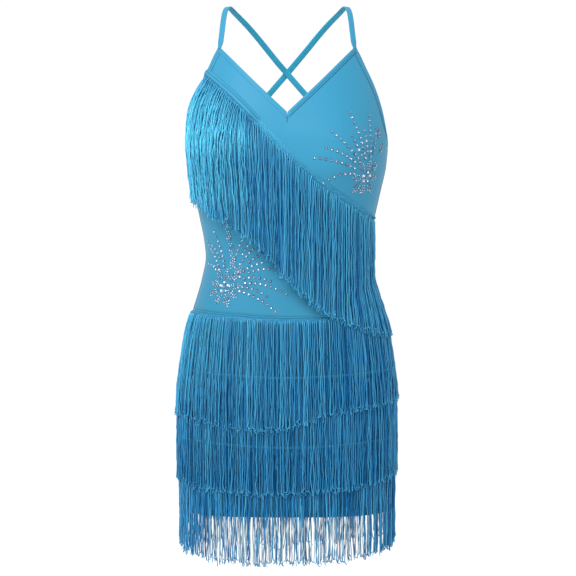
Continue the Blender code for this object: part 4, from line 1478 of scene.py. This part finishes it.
def build_diagonal_fringe(scene):
    settings = scene.dress_fringe
    chance = np.random.RandomState(settings.seed + 10)
    line = inset(DIAGONAL_SEAM, TRIM_WIDTH - 0.0010)
    line = line[(line[:, 0] > diagonal_start() + TRIM_START) & (line[:, 0] < math.pi / 2)]
    start, end = DIAGONAL_LENGTHS
    hanging = Hanging(
        line=line, root_scatter=0.0042, hook=0.0022,
        lengths=lambda share, angle: start + (end - start) * share,
        pitch=settings.diagonal_pitch, clump=settings.clump, clump_start=0.0, thickness=1.0,
        trims_below=TIER_TRIMS, fan=diagonal_fan, flare=diagonal_flare, tousle=diagonal_tousle,
        lift=diagonal_painted_light, root_shade=diagonal_root_shade, body_steps=27, ragged=0.012, kept_behind=1.0,
    )
    # At its upper end the trim is folded over and sewn in, so its strands hang closer there and spread wider.
    folded = hanging._replace(
        line=line[run_on_form(line) < FOLD_LENGTH], lengths=lambda share, angle: np.full(len(share), start),
        pitch=FOLD_PITCH, fan=folded_fan,
    )
    strands = [fringe_row(hanging, row, settings.drift, chance) for row in DIAGONAL_ROWS]
    strands += [fringe_row(folded, row, settings.drift, chance) for row in DIAGONAL_ROWS[:2]]
    new_fringe(scene, "diagonal_fringe", strands)


# ---------------------------------------------------------------------------------------------------------
# Trims' heads


def zigzag(line, yarn, profile, chance):
    """A yarn that runs to and fro across a trim's head in uneven turns, close over its face."""
    run = run_on_form(line)
    turns = round(run[-1] / yarn.pitch)
    stops = np.linspace(0, run[-1], turns * 6 + 1)
    angles, heights = along_line(stops, run, line)
    phase = 2 * math.pi * turns * stops / run[-1] + chance.uniform(-0.5, 0.5, len(stops))
    aside = yarn.middle + yarn.width / 2 * chance.uniform(0.6, 1.2, len(stops)) * np.sin(phase)
    over = np.interp(aside, *np.array(profile).T) + yarn.out + chance.uniform(-0.0003, 0.0002, len(stops))
    points = on_form(angles, heights)
    looks = form_normal(angles, heights)
    below = unit(np.cross(np.gradient(points, axis=0), looks))
    return points + below * aside[:, None] + looks * over[:, None]


def grown_cord(scene, name, points, thickness, shade, material):
    """One cord along a path, as a piece of its own; its shade may change along it."""
    values = {"thickness": thickness, "shade": shade, "run": run_along(points), "pale": 0.0}
    inputs = {"Radius": scene.dress_fringe.radius, "Sides": 4, "Material": material}
    tree = tree_once("cords_along_paths", strand_tree)
    grown_piece(name, path_mesh(name, points[None], values), tree, inputs)


def plain_head(x, distance):
    """No change of shade over a trim's head."""
    return 0.0 * (x + distance)


def diagonal_head(x, distance):
    """How much lighter the diagonal trim's head is to the left, and along its upper edge."""
    return 0.45 * (1 - blend(-x, -0.030, 0.030)) + 0.30 * blend(distance, 0.0004, 0.0016)


def build_trim(scene, name, line_at, profile, yarns, lift, seed, closed=False):
    """A trim's head: a woven band that rises out of its seam, with yarns laid to and fro across it."""
    chance = np.random.RandomState(seed)
    distances = np.array(profile)[::-1, 0]
    grid = np.stack([on_form(*line_at(distance).T, out) for distance, out in reversed(profile)], axis=1)
    head = quad_mesh(f"{name}_band", grid, closed_columns=closed)
    shades = HEAD_SHADE + lift(grid[..., 0], distances[None, :])
    add_attributes(head, {"shade": shades.ravel()}, (len(head.vertices),))
    thicken(new_piece(f"{name}_band", head, gimp(scene)), "woven thickness", HEAD_THICKNESS)
    line = once_round(line_at(0.0)) if closed else line_at(0.0)
    for yarn in yarns:
        points = zigzag(line, yarn, profile, chance)
        shade = yarn.shade + lift(points[:, 0], yarn.middle)
        grown_cord(scene, f"{name}_{yarn.name}", points, yarn.thickness, shade, gimp(scene))


def build_trims(scene):
    for number, top in enumerate(TIER_TRIMS, 1):
        build_trim(
            scene, f"skirt_trim_{number}", lambda distance: round_line(top - distance, HEAD_STEPS),
            SKIRT_HEAD, SKIRT_YARNS[:3 - number], plain_head, 20 + number, closed=True,
        )
    start, end = diagonal_start() + TRIM_START, math.pi / 2 - TRIM_SIDE_GAP
    build_trim(
        scene, "diagonal_trim", lambda distance: diagonal_line(distance, start, end, 200),
        DIAGONAL_HEAD, DIAGONAL_YARNS, diagonal_head, 30,
    )


def build_knot(scene):
    """The small knot of yarn that ends the diagonal trim at the side seam."""
    x, height = DIAGONAL[-1]
    centre = on_form(angle_at(x * 0.962, height), height + 0.002, LAYER + 0.0012)
    turns = np.linspace(0, 2 * math.pi, 60)
    radius = 0.0013 + 0.0005 * np.cos(3 * turns)
    points = (radius * np.cos(2 * turns), 0.0009 * np.sin(3 * turns), radius * np.sin(2 * turns))
    grown_cord(scene, "diagonal_knot", centre + np.column_stack(points), 0.9, 0.7, gimp(scene))


# ---------------------------------------------------------------------------------------------------------
# Sewing


def build_facing(scene):
    """The edge of the upper panel where it laps over the left end of the diagonal trim's head."""
    start, end = diagonal_start() + FACING_START, angle_at(TWIN_STITCH_END, SEWN_HEIGHT)
    lines = []
    for distance, out in reversed(FACING_PROFILE):
        line = diagonal_line(distance, start, end, 60)
        sink = np.clip((np.linspace(0, 1, len(line)) - 0.85) / 0.15, 0, 1) * max(out - 0.0003, 0)
        lines.append(on_form(*line.T, out - sink))
    grid = np.stack(lines, axis=1)
    mesh = quad_mesh("diagonal_facing", grid, uv=grid[..., ::2])
    thicken(new_piece("diagonal_facing", mesh, knit(scene)), "cloth thickness", FACING_THICKNESS)


def armhole_hem():
    """The line at which the right armhole's hem is stitched down: it nears the edge towards the underarm."""
    near, far = inset(ARMHOLE_EDGE, 0.0064), inset(ARMHOLE_EDGE, 0.0125)
    share = blend(-ARMHOLE_EDGE[:, 1], 0.150, -UNDERARM)[:, None]
    line = near * (1 - share) + far * share
    return line[line[:, 1] < front_top(BINDING_WIDTH + 0.001)(line[:, 0]) + 0.0005]


def stitch_rows(scene):
    """Each row of stitches that shows: its line, its height above the form and its weight of thread."""
    flat, proud = 0.0001, scene.dress_cloth.binding_proud
    start = diagonal_start() + TWIN_STITCH_START
    end = angle_at(TWIN_STITCH_END - 0.004, SEWN_HEIGHT)
    neck = inset(NECKLINE_EDGE_TO_STRAP, BINDING_WIDTH + 0.0001)
    neck_edge = NECKLINE_EDGE_TO_STRAP[NECKLINE_EDGE_TO_STRAP[:, 0] > 0.03]
    arm = armhole_hem()
    left = mirrored(arm)
    above = left[:, 1] > height_along(DIAGONAL_SEAM)(left[:, 0]) + 0.002
    return (
        ("twin_stitch_upper", diagonal_line(0.0000, start, end, 60), 0.0019, 1.0),
        ("twin_stitch_lower", diagonal_line(0.0040, start, end, 60), 0.0029, 1.0),
        ("neck_stitch_right", neck[neck[:, 0] > 0], flat, 1.0),
        ("neck_stitch_edge", inset(neck_edge, 0.0042), proud, 0.9),
        ("armhole_stitch_right", arm, flat, 1.5),
        ("armhole_stitch_left", left[above], flat, 1.2),
        ("back_stitch", inset(BACK_LINE, BINDING_WIDTH - 0.0014), proud, 1.0),
    )


def build_stitches(scene):
    settings = scene.dress_sewing
    for name, line, out, heavy in stitch_rows(scene):
        line = even_stops(line, 0.003)
        seeds = path_mesh(name, on_form(*line.T, out)[None], {"facing": form_normal(*line.T)[None]})
        inputs = {
            "Stitch": settings.stitch, "Gap": settings.gap, "Thread": settings.thread * heavy,
            "Material": thread(scene),
        }
        grown_piece(name, seeds, tree_once("row_of_stitches", stitch_tree), inputs)


def build_cords(scene):
    """Piping at the waist, side seams drawn in as dark thread lines with painted shade, and threads that hold
    the strands over the trims below.
    """
    line = once_round(round_line(WAIST_SEAM + 0.0010, HEAD_STEPS))
    grown_cord(scene, "waist_piping", on_form(*line.T, 0.0001), 1.2, 0.8, gimp(scene))
    # Painted shade: the side seams are dark thread cords, standing partly for the seam and partly for the
    # shade along it at the sides.
    heights = np.linspace(UNDERARM - BINDING_WIDTH, WAIST_SEAM + SIDE_RISE, 60)
    for angle, name in ((math.pi / 2, "side_seam_shade_right"), (-math.pi / 2, "side_seam_shade_left")):
        grown_cord(scene, name, on_form(angle, heights, 0.0002), 0.9, 0.0, thread(scene))
    for number, top in enumerate(TIER_TRIMS[1:], 1):
        for i, (rise, over) in enumerate(HOLDING_THREADS, 1):
            line = once_round(round_line(top + rise, HEAD_STEPS * 2))
            out = fringe_out(TIER_TRIMS[number:], *line.T) + over
            name = f"holding_thread_{number}_{i}"
            grown_cord(scene, name, on_form(*line.T, out), 0.38, 1.0, gimp(scene))


# ---------------------------------------------------------------------------------------------------------
# Rhinestones


def over_cloth(spray, across, up):
    """Places at distances across and up, measured over the cloth, from a spray's flower."""
    angles = np.linspace(-math.pi / 2, math.pi / 2, 721)
    run = run_along(on_form(angles, spray.height))
    start = np.interp(angle_at(spray.x, spray.height), angles, run)
    return np.interp(start + across, run, angles), spray.height + up


def leaf(direction, start, settings, shape):
    """Beads of one petal: pairs along its outline and one line down its middle."""
    length, width, spacing = settings.petal, settings.petal * shape[0], settings.bead * shape[1]
    beads = []
    for along in np.arange(0, length + spacing / 2, spacing):
        half = width / 2 * math.sin(math.pi * min(along / length, 1) ** 1.35) ** 0.7
        sides = (half, -half) if half > spacing * 0.3 else (0.0,)
        beads += [(start + along, side) for side in sides]
        if half > spacing * 0.75:
            beads.append((start + along, 0.0))
    along, side = np.array(beads).T
    turn = math.radians(direction)
    return np.column_stack(
        (along * math.cos(turn) - side * math.sin(turn), along * math.sin(turn) + side * math.cos(turn))
    )


def spray_row(row, spacing):
    """Stones of one row of a spray, which leaves the flower and bends away."""
    first, last, start, reach = row
    steps = np.arange(start, reach, spacing)
    share = (steps - start) / (reach - start)
    turn = np.radians(first + (last - first) * share**1.3)
    return steps * np.cos(turn), steps * np.sin(turn), share


def apart(stones):
    """The stones without those that would touch an earlier one."""
    kept = []
    for x, up, size in stones:
        if all(math.hypot(x - other[0], up - other[1]) > TOUCHING * (size + other[2]) for other in kept):
            kept.append((x, up, size))
    return np.array(kept)


def set_stones(scene, name, cut, angles, heights, sizes, chance):
    """One piece of stones of a cut, each with its own tilt, turn, painted brightness of its glints and
    coating.
    """
    settings = scene.dress_stones
    points = on_form(angles, heights)
    seeds = bpy.data.meshes.new(name)
    seeds.from_pydata(points.tolist(), [], [])
    values = {
        "facing": unit(form_normal(angles, heights) + chance.normal(0, STONE_TILT, points.shape)),
        "turn": chance.uniform(0, 2 * math.pi, len(points)),
        "size": sizes / 2,
        "spark": chance.uniform(*cut.spark, len(points)) + 0.4 * (sizes > 1.15 * np.median(sizes)),
        "rose": chance.uniform(0, 1, len(points)),
    }
    add_attributes(seeds, values, (len(points),))
    inputs = {
        "Facets": cut.facets or settings.facets, "Crown": cut.crown, "Table": cut.table,
        "Seed": settings.seed,
        "Material": material_once(cut.material, glass_material, cut.colours, cut.roughness),
    }
    grown_piece(name, seeds, tree_once("set_stones", stone_tree), inputs)


def build_stones(scene):
    settings = scene.dress_stones
    chance = np.random.RandomState(settings.seed)
    for name, spray in (("bust", BUST_SPRAY), ("waist", WAIST_SPRAY)):
        beads = []
        for i in range(spray.petals):
            sway = chance.uniform(-PETAL_SWAY, PETAL_SWAY)
            direction = spray.first_petal + 360 / spray.petals * i + sway
            beads.append(leaf(direction, PETAL_STARTS[i % 2], settings, PETAL_SHAPE))
        beads += [leaf(*leaflet, settings, LEAFLET_SHAPE) for leaflet in spray.leaflets]
        stones = []
        for i in range(HEARTS):
            turn = math.radians(360 / HEARTS * i + HEART_TURN)
            stones.append((HEART_RING * math.cos(turn), HEART_RING * math.sin(turn), settings.heart))
        stones.append((0.0, 0.0, settings.heart * MIDDLE_SIZE))
        for row in spray.rows:
            for x, up, share in zip(*spray_row(row, settings.spacing)):
                stones.append((x, up, settings.stone * (ROW_SIZES[0] - ROW_SIZES[1] * share)))
        across, up, sizes = apart(stones).T
        set_stones(scene, f"{name}_stones", STONE, *over_cloth(spray, across, up), sizes, chance)
        across, up = np.vstack(beads).T
        sizes = np.full(len(up), settings.bead)
        set_stones(scene, f"{name}_petals", STUD, *over_cloth(spray, across, up), sizes, chance)
    x, heights = np.array(EXTRA_STONES).T
    sizes = np.full(len(x), settings.stone * SINGLE_SIZE)
    set_stones(scene, "single_stones", STONE, angle_at(x, heights), heights, sizes, chance)


# ---------------------------------------------------------------------------------------------------------
# Stage


def build_stage(scene):
    settings = scene.dress_stage
    camera = bpy.data.cameras.new("camera")
    camera.lens = settings.lens
    camera.sensor_width = 36.0
    camera.clip_end = 200.0
    view = bpy.data.objects.new("camera", camera)
    view.location = (0.0012, -settings.distance, settings.height)
    tilt = math.atan2(settings.height - settings.aim, settings.distance)
    view.rotation_euler = (math.pi / 2 - tilt, 0.0, 0.0)
    scene.collection.objects.link(view)
    scene.camera = view

    half = 60.0
    corners = ((-half, -half), (half, -half), (half, half), (-half, half))
    mesh = bpy.data.meshes.new("floor")
    mesh.from_pydata([(x, y, settings.floor) for x, y in corners], [], [(0, 1, 2, 3)])
    mesh.materials.append(material_once("matt_studio_paint", floor_material))
    floor = bpy.data.objects.new("floor", mesh)
    scene.collection.objects.link(floor)

    world = bpy.data.worlds.new("studio")
    world.use_nodes = True
    white = {"Color": (1.0, 1.0, 1.0, 1.0), "Strength": settings.ambience}
    set_inputs(world.node_tree, world.node_tree.nodes["Background"], white)
    scene.world = world
    scene.view_settings.view_transform = "Standard"

    target = np.array([0.0, 0.0, -0.40])
    for name, place, size, power in (
        ("key_light", (-1.06, -1.90, 1.62), 1.3, settings.key),
        ("fill_light", (1.8, -2.4, 0.0), 2.0, settings.key * 0.14),
    ):
        light = bpy.data.lights.new(name, "AREA")
        light.shape = "DISK"
        light.size = size
        light.energy = power
        lamp = bpy.data.objects.new(name, light)
        lamp.location = place
        x, y, z = target - np.array(place)
        lamp.rotation_euler = (math.atan2(math.hypot(x, y), -z), 0.0, math.atan2(y, x) - math.pi / 2)
        scene.collection.objects.link(lamp)


# ---------------------------------------------------------------------------------------------------------
# Operators and panel


class DRESS_OT_panels(Operator):
    """Make the knit panels of the bodice and skirt"""
    bl_idname = "dress.panels"
    bl_label = "Knit Panels"

    def execute(self, context):
        build_panels(context.scene)
        return {"FINISHED"}


class DRESS_OT_bindings(Operator):
    """Make the bindings of the neckline, armholes and back"""
    bl_idname = "dress.bindings"
    bl_label = "Bindings"

    def execute(self, context):
        build_bindings(context.scene)
        return {"FINISHED"}


class DRESS_OT_straps(Operator):
    """Make the two straps that cross at the back"""
    bl_idname = "dress.straps"
    bl_label = "Straps"

    def execute(self, context):
        build_straps(context.scene)
        return {"FINISHED"}


class DRESS_OT_trims(Operator):
    """Make the woven heads of the four fringes"""
    bl_idname = "dress.trims"
    bl_label = "Trims"

    def execute(self, context):
        build_trims(context.scene)
        build_facing(context.scene)
        build_knot(context.scene)
        build_cords(context.scene)
        return {"FINISHED"}


class DRESS_OT_skirt_fringe(Operator):
    """Make the strands of the three tiers of skirt fringe"""
    bl_idname = "dress.skirt_fringe"
    bl_label = "Skirt Fringe"

    def execute(self, context):
        build_skirt_fringe(context.scene)
        return {"FINISHED"}


class DRESS_OT_diagonal_fringe(Operator):
    """Make the strands of the diagonal fringe"""
    bl_idname = "dress.diagonal_fringe"
    bl_label = "Diagonal Fringe"

    def execute(self, context):
        build_diagonal_fringe(context.scene)
        return {"FINISHED"}


class DRESS_OT_stitches(Operator):
    """Sew the rows of stitches that show"""
    bl_idname = "dress.stitches"
    bl_label = "Stitches"

    def execute(self, context):
        build_stitches(context.scene)
        return {"FINISHED"}


class DRESS_OT_stones(Operator):
    """Set the two sprays of rhinestones"""
    bl_idname = "dress.stones"
    bl_label = "Rhinestones"

    def execute(self, context):
        build_stones(context.scene)
        return {"FINISHED"}


class DRESS_OT_stage(Operator):
    """Set up the camera, the floor and the studio light"""
    bl_idname = "dress.stage"
    bl_label = "Stage"

    def execute(self, context):
        build_stage(context.scene)
        return {"FINISHED"}


OPERATORS = (
    DRESS_OT_panels, DRESS_OT_bindings, DRESS_OT_straps, DRESS_OT_trims, DRESS_OT_skirt_fringe,
    DRESS_OT_diagonal_fringe, DRESS_OT_stitches, DRESS_OT_stones, DRESS_OT_stage,
)


class DRESS_PT_panel(Panel):
    """Sizes and colours of the dance dress, and a button for each group of pieces"""
    bl_label = "Dance Dress"
    bl_idname = "DRESS_PT_panel"
    bl_space_type = "VIEW_3D"
    bl_region_type = "UI"
    bl_category = "Dance Dress"

    def draw(self, context):
        for name in SETTINGS:
            box = self.layout.box()
            group = getattr(context.scene, name)
            for label in group.__annotations__:
                box.prop(group, label)
        for operator in OPERATORS:
            self.layout.operator(operator.bl_idname)


CLASSES = (*SETTINGS.values(), *OPERATORS, DRESS_PT_panel)


def register():
    for item in CLASSES:
        bpy.utils.register_class(item)
    for name, group in SETTINGS.items():
        setattr(bpy.types.Scene, name, PointerProperty(type=group))


def unregister():
    for name in SETTINGS:
        delattr(bpy.types.Scene, name)
    for item in reversed(CLASSES):
        bpy.utils.unregister_class(item)


def main():
    register()
    for operator in OPERATORS:
        group, name = operator.bl_idname.split(".")
        getattr(getattr(bpy.ops, group), name)()


if __name__ == "__main__":
    main()
